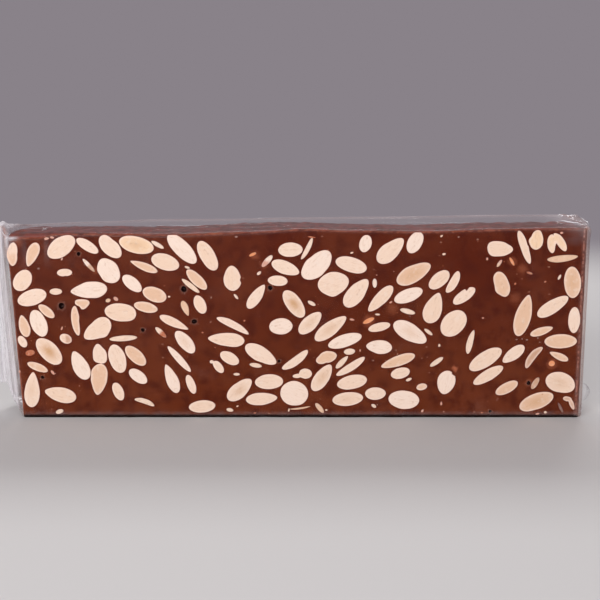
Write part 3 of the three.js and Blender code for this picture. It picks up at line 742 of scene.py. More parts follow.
def blurred(values, places):
    """Values smoothed along their first axis, whose coordinates are places."""
    weights = near_line(places[:, None] - places[None, :], TOP_BLUR)
    return weights / weights.sum(axis=1, keepdims=True) @ values


class Top:
    """The mass's top over a lattice: the solid's heights over the base, without their facets."""

    def __init__(self):
        self.xs = graded(-HALF_LENGTH, HALF_LENGTH, GRID, EDGE_RADIUS[1])
        self.ys = graded(-HALF_DEPTH, HALF_DEPTH, GRID, EDGE_RADIUS[1])
        inside_x = np.clip(self.xs, INSIDE - HALF_LENGTH, HALF_LENGTH - INSIDE) + MIDDLE_X
        inside_y = np.clip(self.ys, INSIDE - HALF_DEPTH, HALF_DEPTH - INSIDE) + MIDDLE_Y
        heights = np.array([[cad_top(x - LEAN * NOMINAL, y) - BASE for y in inside_y] for x in inside_x])
        behind = heights[:, np.searchsorted(self.ys, BEHIND_POCKETS - HALF_DEPTH)][:, None]
        heights = np.where(heights < behind - SUNK, behind, heights)
        self.heights = blurred(blurred(heights, self.xs).T, self.ys).T
        self.unworn = self.heights[:, 0].copy()
        along = self.xs + HALF_LENGTH - MARK
        worn = smoothstep(*WORN_ALONG, along)
        self.heights -= WORN * worn[:, None] * smoothstep(WORN_REACH, 0, self.ys + HALF_DEPTH)[None, :]
        drop = np.interp(along, *np.array(BACK_DROP).T)
        self.heights -= drop[:, None] * smoothstep(-HALF_DEPTH / 2, HALF_DEPTH, self.ys)[None, :]

    def at(self, points):
        """Height of the top over points of the lattice."""
        return self.heights[np.searchsorted(self.xs, points[:, 0]), np.searchsorted(self.ys, points[:, 1])]

    def front(self, x):
        return np.interp(x, self.xs, self.heights[:, 0])

    def back(self, x):
        return np.interp(x, self.xs, self.heights[:, -1])

    def under_film(self, x):
        """Height of the top at the front before it was worn, which the film still follows."""
        return np.interp(x, self.xs, self.unworn)


def mass_surface(top):
    """Points and faces of the mass, before its pockets are cut."""
    points, faces = lattice(top.xs, top.ys, graded(0, NOMINAL, GRID, EDGE_RADIUS[1]))
    low, high = EDGE_RADIUS
    radius = low + (high - low) * (0.5 + 0.5 * np.clip(rough(points, 9.0, 3.1), -1, 1))
    radius *= np.where(points[:, 2] < NOMINAL / 2, FOOT_RADIUS, 1)
    centre = np.array([0, 0, NOMINAL / 2])
    inner = np.array([HALF_LENGTH, HALF_DEPTH, NOMINAL / 2]) - radius[:, None]
    kept = np.clip(points - centre, -inner, inner)
    away = points - centre - kept
    reach = np.linalg.norm(away, axis=1)
    outward = away / reach[:, None]
    at_edge = smoothstep(1.0, 1.25, reach / radius)
    on_top = np.clip(outward[:, 2], 0, 1)
    behind = smoothstep(*TOP_FADE, points[:, 1] + HALF_DEPTH)
    fine = rough(points, 14.0, 1.0) + 0.5 * rough(points, 4.0, 2.0)
    lumps = rough(points, 8.0, 5.0) + 0.6 * rough(points, 3.6, 6.0)
    nicks = np.clip(rough(points, 3.2, 7.0) - 0.1, 0, 1) * at_edge
    relief = FACE_RELIEF * fine * (1 - on_top) + TOP_RELIEF * lumps * on_top * mix(FADED, 1, behind)
    relief -= EDGE_NICK * nicks
    placed = centre + kept + (radius + relief)[:, None] * outward
    placed[:, 2] *= top.at(points) / NOMINAL
    placed[:, 2] -= FOOT_DROP * smoothstep(FOOT_DROP_FROM, 0, points[:, 2])
    placed[:, 0] -= LEAN * placed[:, 2]
    return placed + [MIDDLE_X, MIDDLE_Y, BASE], faces


def cut(ob, others):
    """Cuts the others out of a mesh, for good."""
    tools = bpy.data.collections.new("tools")
    bpy.context.scene.collection.children.link(tools)
    for other in others:
        bpy.context.scene.collection.objects.unlink(other)
        tools.objects.link(other)
    modifier = ob.modifiers.new("cut", "BOOLEAN")
    modifier.operation = "DIFFERENCE"
    modifier.operand_type = "COLLECTION"
    modifier.collection = tools
    modifier.solver = "MANIFOLD"
    graph = bpy.context.evaluated_depsgraph_get()
    result = bpy.data.meshes.new_from_object(ob.evaluated_get(graph))
    result.materials.clear()
    ob.modifiers.clear()
    ob.data = result
    for other in others:
        bpy.data.objects.remove(other)
    bpy.data.collections.remove(tools)


def set_distances(mesh, top, sections):
    """Gives each point of the mass its distance from the nearest section of the cut face, from the cut face's
    upper edge or the ends' edges, and from the right end."""
    places = places_of(mesh)
    outline = np.concatenate([section.outline for section in sections])
    x, y, z = (places - [MIDDLE_X, MIDDLE_Y, BASE]).T
    upright = x + LEAN * z
    upper = np.hypot(y + HALF_DEPTH, z - top.front(upright))
    ends = np.hypot(y + HALF_DEPTH, HALF_LENGTH - np.abs(upright))
    set_values(mesh, "near", nearest(places, FRONT_FACE.place(outline, np.zeros(len(outline)))))
    set_values(mesh, "edge", np.minimum(upper, ends))
    set_values(mesh, "right", HALF_LENGTH - upright)


# ---------------- Materials ----------------

class Material:
    """A node tree that is written as calls: add() makes a node, and a socket given as a value is linked."""

    def __init__(self, name):
        self.material = bpy.data.materials.new(name)
        self.material.use_nodes = True
        self.tree = self.material.node_tree
        self.tree.nodes.clear()

    def add(self, kind, inputs=(), **settings):
        node = self.tree.nodes.new(kind)
        for key, value in settings.items():
            setattr(node, key, value)
        for key, value in dict(inputs).items():
            if isinstance(value, bpy.types.NodeSocket):
                self.tree.links.new(value, node.inputs[key])
            else:
                node.inputs[key].default_value = value
        return node

    def shader(self, kind, **inputs):
        inputs = {name.replace("_", " "): value for name, value in inputs.items()}
        return self.add("ShaderNodeBsdf" + kind, inputs).outputs[0]

    def value(self, name):
        return self.add("ShaderNodeAttribute", attribute_name=name).outputs["Fac"]

    def vector(self, name):
        return self.add("ShaderNodeAttribute", attribute_name=name).outputs["Vector"]

    def place(self):
        return self.add("ShaderNodeTexCoord").outputs["Object"]

    def normal(self):
        return self.add("ShaderNodeNewGeometry").outputs["Normal"]

    def part(self, vector, axis):
        return self.add("ShaderNodeSeparateXYZ", {0: vector}).outputs[axis]

    def noise(self, vector, scale, detail=2.0, roughness=0.5, output="Fac"):
        inputs = {"Vector": vector, "Scale": scale, "Detail": detail, "Roughness": roughness}
        return self.add("ShaderNodeTexNoise", inputs).outputs[output]

    def maths(self, operation, a, b=0.0, clamp=False):
        return self.add("ShaderNodeMath", {0: a, 1: b}, operation=operation, use_clamp=clamp).outputs[0]

    def times(self, a, b):
        return self.maths("MULTIPLY", a, b)

    def plus(self, a, b, clamp=False):
        return self.maths("ADD", a, b, clamp)

    def vector_maths(self, operation, a, b, output="Vector"):
        return self.add("ShaderNodeVectorMath", {0: a, 1: b}, operation=operation).outputs[output]

    def ramp(self, factor, low, high, to_low=0.0, to_high=1.0):
        inputs = {"Value": factor, "From Min": low, "From Max": high, "To Min": to_low, "To Max": to_high}
        return self.add("ShaderNodeMapRange", inputs, interpolation_type="SMOOTHSTEP").outputs["Result"]

    def mix(self, factor, a, b):
        node = self.add("ShaderNodeMix", data_type="RGBA")
        for key, value in ((0, factor), (6, a), (7, b)):
            if isinstance(value, bpy.types.NodeSocket):
                self.tree.links.new(value, node.inputs[key])
            else:
                node.inputs[key].default_value = (*value, 1.0) if key else value
        return node.outputs[2]

    def mix_shader(self, factor, a, b):
        return self.add("ShaderNodeMixShader", {0: factor, 1: a, 2: b}).outputs[0]

    def layers(self, base, rows):
        """Colours over base: what each follows, from where to where, its strengths there, and the colour."""
        for factor, low, high, to_low, to_high, tone in rows:
            base = self.mix(self.ramp(factor, low, high, to_low, to_high), base, tone)
        return base

    def bump(self, height, strength, distance):
        inputs = {"Height": height, "Strength": strength, "Distance": distance * MM}
        return self.add("ShaderNodeBump", inputs).outputs["Normal"]

    def distance(self, place, middle, radius):
        """How far a place is from a middle of the cut face, in radii."""
        x, z = middle
        middle = ((MARK_X + x) * MM, FRONT * MM, (BASE + z) * MM)
        return self.maths("DIVIDE", self.vector_maths("DISTANCE", place, middle, "Value"), radius * MM)

    def finish(self, shader):
        self.add("ShaderNodeOutputMaterial", {"Surface": shader})
        return self.material


def per_mm(size):
    """Scale of a noise texture, in metres, whose lumps are size millimetres wide."""
    return 1 / (size * MM)


def nougat_material(pits):
    m = Material("nougat")
    place = m.place()
    height = m.part(place, "Z")
    cloud = m.noise(place, per_mm(7), 3.0, 0.6)
    # Paler below and in broad stretches, with dark clouds and fine pale specks
    base = m.layers(colour(98, 41, 17), [
        (height, 20 * MM, 85 * MM, 0.0, 1.0, colour(84, 27, 8)),
        (m.noise(place, per_mm(38), 3.0), 0.35, 0.7, 0.0, 0.55, colour(110, 54, 32)),
        (cloud, 0.42, 0.68, 0.0, 0.65, colour(66, 14, 4)),
        (m.noise(place, per_mm(0.9)), 0.58, 0.76, 0.0, 0.5, colour(124, 60, 38)),
    ])

    # Spots with ragged edges
    warp = m.vector_maths("SUBTRACT", m.noise(place, per_mm(2.5), 3.0, 0.6, "Color"), (0.5, 0.5, 0.5))
    warped = m.vector_maths("ADD", place, m.vector_maths("MULTIPLY", warp, (3 * MM, 3 * MM, 3 * MM)))
    base = m.layers(base, [(m.distance(warped, (x, z), radius), 0.1, 1.0, strength, 0.0, TONES[tone])
                           for x, z, radius, tone, strength in STAINS])

    # Painted shade next to the sections; paler along the edges, from wear and a painted highlight
    ragged = m.times(m.noise(place, per_mm(2.2), 3.0, 0.65), 2.2)
    base = m.layers(base, [
        (m.value("near"), 0.0, 1.6, 0.35, 0.0, colour(92, 26, 11)),
        (m.plus(m.value("edge"), ragged), 1.3, 2.2, 0.7, 0.0, colour(166, 96, 72)),
    ])
    # The cut face's right edge: a broken pink line of wear and painted highlight, and a painted shadow
    # outside it
    facing = m.ramp(m.times(m.part(m.normal(), "Y"), -1.0), 0.5, 0.9)
    right = m.value("right")
    line = m.maths("ABSOLUTE", m.maths("SUBTRACT", right, 1.75))
    broken = m.ramp(m.noise(place, per_mm(1.6), 3.0, 0.7), 0.4, 0.62)
    pink = m.times(m.ramp(line, 0.2, 0.7, 0.5, 0.0), m.times(facing, broken))
    base = m.mix(pink, base, colour(196, 128, 108))
    base = m.mix(m.times(m.ramp(right, 0.5, 1.1, 0.8, 0.0), facing), base, colour(44, 10, 6))
    # Painted light: the top's upward faces are paler in patches
    upward = m.ramp(m.part(m.normal(), "Z"), 0.5, 0.95)
    painted_top_light = m.ramp(m.noise(place, per_mm(5), 3.0, 0.6), 0.38, 0.62, 0.1, 1.0)
    base = m.mix(m.times(upward, painted_top_light), base, colour(136, 60, 45))
    # Painted contact shadow: the foot is nearly black up to 1.2 mm and fades out by 2.6 mm
    base = m.layers(base, [(height, 1.2 * MM, 2.6 * MM, 0.97, 0.0, colour(12, 2, 1))])

    # The pits have a pale rim, and painted shade darkens them inside
    pit = 9.0
    for x, z, radius in pits:
        pit = m.maths("MINIMUM", m.distance(place, (x, z), radius), pit)
    rim = m.plus(pit, m.times(m.noise(place, per_mm(0.8)), 0.5))
    base = m.layers(base, [(rim, 1.35, 1.8, 0.55, 0.0, colour(116, 78, 66))])
    deep = m.ramp(m.part(place, "Y"), (FRONT + 0.1) * MM, (FRONT + 0.6) * MM)
    base = m.mix(m.times(deep, m.ramp(pit, 1.6, 2.0, 1.0, 0.0)), base, colour(34, 12, 10))

    normal = m.bump(m.noise(place, per_mm(0.7), 3.0, 0.6), 0.25, 0.12)
    roughness = m.ramp(cloud, 0.3, 0.7, 0.36, 0.52)
    return m.finish(m.shader("Principled", Base_Color=base, Roughness=roughness, Normal=normal,
                             Specular_IOR_Level=0.1))


def almond_material():
    m = Material("almond")
    grain = m.vector("grain")
    streaks = m.noise(m.vector_maths("MULTIPLY", grain, (0.22, 1.0, 1.0)), 1.3, 3.0, 0.6)
    cloud = m.noise(grain, 0.35)
    base = m.layers(m.vector("tint"), [
        (streaks, 0.5, 0.72, 0.0, 0.4, colour(214, 176, 146)),
        (cloud, 0.5, 0.75, 0.0, 0.4, colour(243, 224, 210)),
    ])
    # The line between a kernel's halves sways and breaks off
    sway = m.times(m.ramp(cloud, 0.2, 0.8, -1.0, 1.0), 1.2)
    seam = m.maths("ABSOLUTE", m.plus(m.part(grain, "Y"), sway))
    broken = m.ramp(m.noise(grain, 0.55), 0.5, 0.68)
    base = m.mix(m.times(m.ramp(seam, 0.05, 0.5, 0.4, 0.0), broken), base, colour(198, 156, 122))
    rim = m.value("rim")
    base = m.layers(base, [
        (rim, 0.2, 1.5, 0.6, 0.0, colour(252, 223, 206)),
        (rim, 0.0, 0.25, 0.5, 0.0, colour(228, 180, 152)),
        (m.noise(grain, 2.6), 0.66, 0.8, 0.0, 0.25, colour(206, 164, 128)),
    ])
    return m.finish(m.shader("Principled", Base_Color=base, Roughness=0.55, Normal=m.bump(streaks, 0.3, 0.15),
                             Specular_IOR_Level=0.2))


def film_material():
    """Clear film: milky along its creases and, in streaks, where it is hazy, glossy where it has a sheen."""
    m = Material("clear_film")
    streaks = m.ramp(m.noise(m.vector("flow"), 1.0, 3.0, 0.6), 0.36, 0.62, 0.3, 1.0)
    milky = m.plus(m.value("crease"), m.times(m.value("haze"), streaks), clamp=True)
    # Painted light: blush gives milky film the nougat's colour, refracted in folds and lit along its worn
    # edges
    tint = m.mix(m.value("blush"), (0.93, 0.90, 0.93), (0.62, 0.34, 0.28))
    clouded = m.mix_shader(0.3, m.shader("Diffuse", Color=tint), m.shader("Translucent", Color=tint))
    through = m.mix(m.value("shade"), (0.985, 0.985, 0.985), (0.85, 0.78, 0.76))
    body = m.mix_shader(milky, m.shader("Transparent", Color=through), clouded)
    gloss = m.shader("Glossy", Color=(0.95, 0.93, 0.96, 1), Roughness=0.2)
    fresnel = m.add("ShaderNodeFresnel", {"IOR": 1.45}).outputs[0]
    return m.finish(m.mix_shader(m.times(fresnel, m.value("sheen")), body, gloss))


def floor_material():
    m = Material("floor")
    middle = m.vector_maths("LENGTH", m.place(), (0, 0, 0), "Value")
    pale = m.shader("Diffuse", Color=(0.6, 0.59, 0.58, 1))
    return m.finish(m.mix_shader(m.ramp(middle, *FLOOR_FADE), pale, m.shader("Transparent")))


# ---------------- Film wrap ----------------

FILM_CLEAR = 0.35             # the film lies this far off the nougat
FILM_UNDER = 0.65             # and under it this far
FILM_STEP = 1.9
FILM_EDGE = 2.2               # radius of its edges
# Its upper edge behind: X from the bar's middle, and height over the base
BACK_LINE = [(-163, 99.0), (-147, 99.9), (-124, 101.0), (-84, 102.6), (0, 103.5), (84, 104.8), (124, 105.4),
             (151, 105.3)]
TENT_LEFT = 12.0              # from the sleeve's end to the ridge where its front and back meet
OVERHANG_RIGHT = 1.3          # the sleeve keeps its full depth this far beyond the bar
TENT_RIGHT = 0.9
STRAIGHT = 2.0                # the sleeve is straight from this far inside its ends
# How it turns into them: beyond the bar's end, and less than the full half depth
TURN_LEFT = [(0.8, 1.2), (0.0, 0.2), (-STRAIGHT, 0.0)]
TURN_RIGHT = [(-STRAIGHT, 0.0), (0.4, 0.0), (OVERHANG_RIGHT - 0.3, 0.25), (OVERHANG_RIGHT, 1.2)]
RIDGE_LEFT_FOOT = 5.0
RIDGE_RIGHT = (9, 99.5)
RIDGE_HALF = 0.3
EAR_START = 5.9               # the left end's top stands up as an ear from this far out, at its middle
EAR_SLANT = 0.346             # and this much farther out for each millimetre behind that
EAR_RISE = 1.1                # over this much to each side
EAR_TOP = 103.2
CORNER_OUT = 4.8              # the right end's upper corner behind stands out by this much
CORNER_DEEP = 7.0             # down to about this far under the top
CORNER_BEHIND = (-18, 8)      # and rises over this stretch, from front to back
TENT_RISE = 0.215             # the left tent's top rises behind by this much as it narrows
FIN_HALF = 0.1
FIN_WIDTH = 6.0
FIN_FOOT = 8.0                # the left fin starts this much above the ridge's foot
FIN_ROUND = 3.0               # and its outer corner is lower by this much
FIN_PLEAT = 0.8
FIN_FOLD = 13.0               # the right fin lies folded back along the end
FIN_TURN = 0.7
FIN_BOW = 0.5
FIN_START = 1.05              # the right fin counts as this far out from its turn on
FIN_ANGLES = (22, 45, 68, 90)
FIN_ROWS = 10

# Crumpled areas of it: height and reach, for the corner with X from the bar's middle before them
FOOT_AREA = (4, 7)
EAR_AREA = (101, 5)
CORNER_AREA = (149, 103.5, 4.5)
# How far each area is pushed about by the crumples, and the rest by folds and waves
CRUMPLED = {"ear": 0.3, "foot": 0.7, "corner": 0.9, "all": 0.03}
TENT_WAVE = 0.6
TOP_WAVE = 0.35
# Lines along its edges: widths, and how far the lower one is over the foot
FRONT_LINE = 0.9
BACK_LINE_WIDTH = 1.5
END_LINE = 1.0
LOW_LINE = 2.6
BACK_STRIP = 4.5              # width of the hazy strip on top, along the edge behind
LEFT_BAND = (1.5, 6.0)        # the hazy band of the left end rises over this stretch beyond the bar
TENT_START = (1.5, 2.0)       # middle and width of the band that is pink with the nougat behind it

# How much each of its areas adds to what its material reads
FILM_LOOKS = {
    # the lines along the nougat's edges paint its worn edges and the highlight they catch onto the film
    "crease": {
        "bends": 0.5, "upper_front": 0.10, "upper_back": 0.36, "lower_front": 0.16, "right_line": 0.38,
        "left_line": 0.12, "ear": 0.4, "foot": 0.25, "corner": 0.08, "ragged_corner": 0.25,
        "back_strip": 0.10, "spots": 1.0,
    },
    # haze patches are a painted reflection of the film where it lies on the nougat's front
    "haze": {"left_band": 0.75, "on_top": 0.04, "right_tent": 0.06, "fin": 0.3, "reflection_patches": 0.02},
    # blush is painted light: the nougat's colour refracted in the film's folds and lit along its worn edges
    "blush": {"right_end": 1.0, "left_end": 1.0, "front_edge": 1.0, "tent_start": 0.5, "upper_back": 0.15,
              "spots": -2.0},
    "sheen": {"all": 0.08, "on_top": 0.24, "tent": 0.3},
}
MILKIEST = 0.9
# Haze runs in streaks along X on top, and upright elsewhere: scales of its noise, in 1/mm
STREAKS_ALONG = np.array([0.05, 0.7, 0.7])
STREAKS_UPRIGHT = np.array([0.8, 0.8, 0.05])
SHADE_ON_TOP = 0.4
FOLD_SHEEN = 0.15

# Milky spots of its front and painted highlights on it: X from the mark, height, half widths and strength
MILKY_AND_HIGHLIGHT_SPOTS = [
    # Those over the cut face, from X -149 to 142, are painted highlights and reflections of the film; those
    # beyond its left end are milky film
    (-149.0, 97.1, 2.6, 0.9, 0.95), (-152.0, 94.5, 1.3, 3.6, 0.55), (-143.2, 91.0, 1.3, 7.0, 0.06),
    (-131.4, 92.0, 1.2, 6.0, 0.07), (-126.5, 96.5, 2.0, 1.2, 0.10), (142.0, 96.0, 5.0, 1.5, 0.05),
    (-157.6, 60.0, 1.4, 26.0, 0.5), (-155.6, 24.0, 2.0, 19.0, 0.6), (-158.6, 92.0, 1.5, 9.0, 0.35),
]

# Folds are cast onto the film from one side: the direction, and the place of a point of their lines
CASTS = {
    "down": ((0, 0, -1), lambda x, y: (x, y, OUTSIDE)),
    "from_front": ((0, 1, 0), lambda x, z: (x, -OUTSIDE, z)),
    "from_back": ((0, -1, 0), lambda x, z: (x, OUTSIDE, z)),
    "from_right": ((-1, 0, 0), lambda y, z: (2 * OUTSIDE, y, z)),
}
# Folds that are pinched out of the film: the line's points, width, height, how milky and how pink it is.
# Points are X from the mark, Y and height over the base, without the one that the cast runs along.
FOLDS = {
    "down": [
        # at the top's left end
        ([(-150.3, -3), (-145.0, -3.4), (-139.4, -3.2), (-136.6, 1)], 0.7, 0.2, 0.3, 0.1),
        ([(-137.3, 2.2), (-135.4, -0.6), (-133.5, -1.4)], 0.6, 0.25, 0.3, 0.4),
        # and at its right end
        ([(139.5, 1), (142.2, -3.8), (144.9, -6.6), (147.8, -10.4), (151.2, -13.0)], 0.9, 0.5, 0.75, 0.0),
        ([(136.0, -1.3), (137.6, -5), (139.1, -8.6)], 0.8, 0.35, 0.4, 0.8),
        ([(144.0, 14), (148.5, 14.5), (153.5, 12)], 0.7, 0.4, 0.3, 0.0),
        ([(154.6, 12), (153.8, 5.8), (153.0, -1.8), (152.6, -9), (152.2, -14)], 1.1, 0.5, 0.7, 0.0),
        ([(143.0, 4), (147.5, 6), (152.0, 1)], 0.6, 0.35, 0.3, 0.0),
        ([(147.5, 9), (149.5, 2), (151.5, -3)], 0.6, 0.3, 0.35, 0.0),
    ],
    "from_front": [
        # in the left tent
        ([(-155.0, 101.6), (-153.2, 99.8), (-151.4, 97.9)], 1.1, 0.4, 0.85, 0.0),
        ([(-156.4, 94), (-156.6, 88), (-157.4, 80), (-158.0, 70)], 0.7, 0.35, 0.55, 0.0),
        ([(-152.6, 96.2), (-150.8, 97.4), (-148.4, 97.4), (-145.8, 97.7)], 1.0, 0.3, 0.6, 0.1),
        ([(-159.3, 60), (-159.2, 46), (-159.7, 30)], 0.8, 0.4, 0.55, 0.0),
        ([(-161.2, 66), (-161.7, 42), (-161.6, 18)], 0.6, 0.35, 0.4, 0.0),
        ([(-155.2, 70), (-155.8, 44), (-155.4, 20)], 0.7, 0.3, 0.3, 0.5),
        ([(-152.6, 90), (-153.0, 60), (-152.6, 26), (-151.8, 8)], 0.6, 0.25, 0.2, 1.0),
        ([(-157.0, 12), (-157.8, 7), (-159.3, 2.8)], 0.9, 0.5, 0.7, 0.0),
        ([(-160.0, 9), (-158.6, 5.5), (-156.6, 2.2)], 0.7, 0.4, 0.5, 0.0),
        # down the right end of the front
        ([(149.6, 96), (150.4, 70), (151.0, 40), (151.2, 16)], 0.5, 0.2, 0.16, 1.0),
        ([(147.9, 34), (148.3, 24), (148.2, 8)], 0.5, 0.2, 0.22, 1.0),
        ([(151.6, 9), (152.6, 5.5), (151.4, 1.5)], 0.8, 0.4, 0.5, 0.0),
    ],
    "from_right": [
        ([(-18.6, 18.5), (-18.8, 13.5), (-18.4, 8.5)], 0.5, 4.2, 0.22, 0.0),
        ([(-19.0, 99), (-12.0, 95), (-3.0, 92)], 0.7, 0.4, 0.45, 0.0),
        ([(-18.5, 4), (-11.0, 8), (-3.0, 13)], 0.7, 0.4, 0.45, 0.0),
    ],
}
FOLD_STEP = 0.7
FOLD_ROOT = 0.12              # folds reach this far under the film's skin
# Finer folds that are placed by rule
TENT_FOLDS = 14
END_FOLDS = 12
BACK_FOLDS = 16
TOP_FOLDS = 14
STARS = [(-136.0, -6.0, 2.4), (149.0, 13.0, 3.0), (145.0, 16.0, 2.0), (-22.0, 18.5, 1.6)]  # X, Y and size
STAR_RAYS = 6


def spaced(corners, step):
    """Points about step apart along the line through the corners, which are (x, half depth)."""
    corners = np.array(corners, float)
    legs = np.linalg.norm(np.diff(corners, axis=0), axis=1)
    run = np.concatenate([[0], np.cumsum(legs)])
    at = np.linspace(0, run[-1], max(2, round(run[-1] / step) + 1))
    return np.stack([np.interp(at, run, corners[:, k]) for k in (0, 1)], axis=1)


def film_stations():
    """For each cross-section of the film, from the left fin to the right one: X, Y and heading of its middle,
    half its depth, how far it is out from the bar (0 to 1 over a tent, 1 to 2 over a fin), and the side."""
    half = HALF_DEPTH + FILM_CLEAR
    end = HALF_LENGTH + FILM_CLEAR
    ridge = end + OVERHANG_RIGHT + TENT_RIGHT
    rows = []
    for out in np.linspace(1, 0, FIN_ROWS)[:-1]:
        rows.append((-end - TENT_LEFT - FIN_WIDTH * out, 0, 0, FIN_HALF, 1 + out, -1))
    turn = [(-end - out, half - less) for out, less in TURN_LEFT]
    for x, depth in spaced([(-end - TENT_LEFT, RIDGE_HALF), *turn], 1.0)[:-1]:
        rows.append((x, 0, 0, depth, np.clip((-end - x) / TENT_LEFT, 0, 1), -1))
    straight = end - STRAIGHT
    for x in np.linspace(-straight, straight, round(2 * straight / FILM_STEP)):
        rows.append((x, 0, 0, half, 0, np.sign(x)))
    turn = [(end + out, half - less) for out, less in TURN_RIGHT]
    for x, depth in spaced([*turn, (ridge, RIDGE_HALF)], 1.1)[1:]:
        rows.append((x, 0, 0, depth, np.clip((half - depth) / half, 0, 1), 1))
    for angle in np.radians(FIN_ANGLES):
        x, y = ridge + FIN_TURN * math.sin(angle), FIN_TURN * (1 - math.cos(angle))
        rows.append((x, y, angle, FIN_HALF, FIN_START, 1))
    for out in np.linspace(0, 1, FIN_ROWS + 1)[1:]:
        x, y = ridge + FIN_TURN + FIN_BOW * math.sin(math.pi * out), FIN_TURN + FIN_FOLD * out
        rows.append((x, y, math.pi / 2, FIN_HALF, FIN_START + out, 1))
    return np.array(rows)


class FilmShape:
    """The film before it wrinkles: points, faces, and what the folds and looks of each point depend on."""

    def __init__(self, top):
        stations = film_stations()
        half = HALF_DEPTH + FILM_CLEAR
        across_steps = graded(-half, half, FILM_STEP, FILM_EDGE) / half
        up_steps = graded(-FILM_UNDER, NOMINAL + FILM_CLEAR, FILM_STEP, FILM_EDGE)
        up_steps = (up_steps - up_steps[0]) / (up_steps[-1] - up_steps[0])
        points, self.faces = lattice(np.arange(len(stations)), across_steps, up_steps)
        x, y, heading, depth, out, side = stations[points[:, 0].astype(int)].T
        across, up = points[:, 1], points[:, 2]
        self.left, self.x = side < 0, x
        self.tent, self.fin = np.clip(out, 0, 1), np.clip(out - 1, 0, 1)

        front_top = top.under_film(x) + FILM_CLEAR
        back_top = np.maximum(np.interp(x, *np.array(BACK_LINE).T), top.back(x) + 2 * FILM_CLEAR)
        high = front_top + (back_top - front_top) * (across * depth / half + 1) / 2
        high += TENT_RISE * (half - depth) * (across + 1) / 2 * self.left
        reach = -HALF_LENGTH - FILM_CLEAR - x
        self.ear = smoothstep(-EAR_RISE, EAR_RISE, reach - EAR_START - EAR_SLANT * across * depth) * self.left
        rounding = FIN_ROUND * smoothstep(0.3, 1.0, self.fin)
        high_left = mix(high, EAR_TOP, self.ear) - rounding
        high = np.where(self.left, high_left, mix(high, RIDGE_RIGHT[1], self.tent))
        foot = np.where(self.left, RIDGE_LEFT_FOOT, RIDGE_RIGHT[0])
        low = mix(-FILM_UNDER, foot, self.tent) + FIN_FOOT * smoothstep(0.0, 0.3, self.fin) * self.left

        a, z = self.rounded(across * depth, low + up * (high - low), depth, low, high)
        self.from_top, self.from_foot = high - z, z - low
        self.from_front, self.from_back = a + depth, depth - a
        beyond = smoothstep(HALF_LENGTH, HALF_LENGTH + OVERHANG_RIGHT, x) * (self.fin == 0)
        corner = beyond * near_line(self.from_top, CORNER_DEEP) * smoothstep(*CORNER_BEHIND, a)
        x = x + CORNER_OUT * corner - a * np.sin(heading) - LEAN * z
        self.points = np.stack([x, y + a * np.cos(heading), z], axis=1)

    @staticmethod
    def rounded(a, z, depth, low, high):
        """The cross-section's points moved onto its rounded edges."""
        radius = np.minimum(FILM_EDGE, 0.9 * depth)
        kept_a = np.clip(a, radius - depth, depth - radius)
        kept_z = np.clip(z, low + radius, high - radius)
        away = np.stack([a - kept_a, z - kept_z], axis=1)
        reach = np.linalg.norm(away, axis=1)
        edge = reach > 1e-6
        away[edge] *= (radius[edge] / reach[edge])[:, None]
        return kept_a + away[:, 0], kept_z + away[:, 1]


def point_normals(points, faces):
    normals = np.zeros_like(points)
    a, b, c, d = (points[faces[:, k]] for k in range(4))
    across = np.cross(c - a, d - b)
    for k in range(4):
        np.add.at(normals, faces[:, k], across)
    return normals / np.maximum(np.linalg.norm(normals, axis=1), 1e-9)[:, None]


def bending(points, faces):
    """How much the surface bends at each point, in 1/mm."""
    total, spread = np.zeros_like(points), np.zeros(len(points))
    for k in range(4):
        here, there = faces[:, k], faces[:, (k + 1) % 4]
        step = points[there] - points[here]
        np.add.at(total, here, step)
        np.add.at(total, there, -step)
        for end in (here, there):
            np.add.at(spread, end, (step**2).sum(axis=1))
    return np.abs(2 * (total * point_normals(points, faces)).sum(axis=1) / np.maximum(spread, 1e-6))


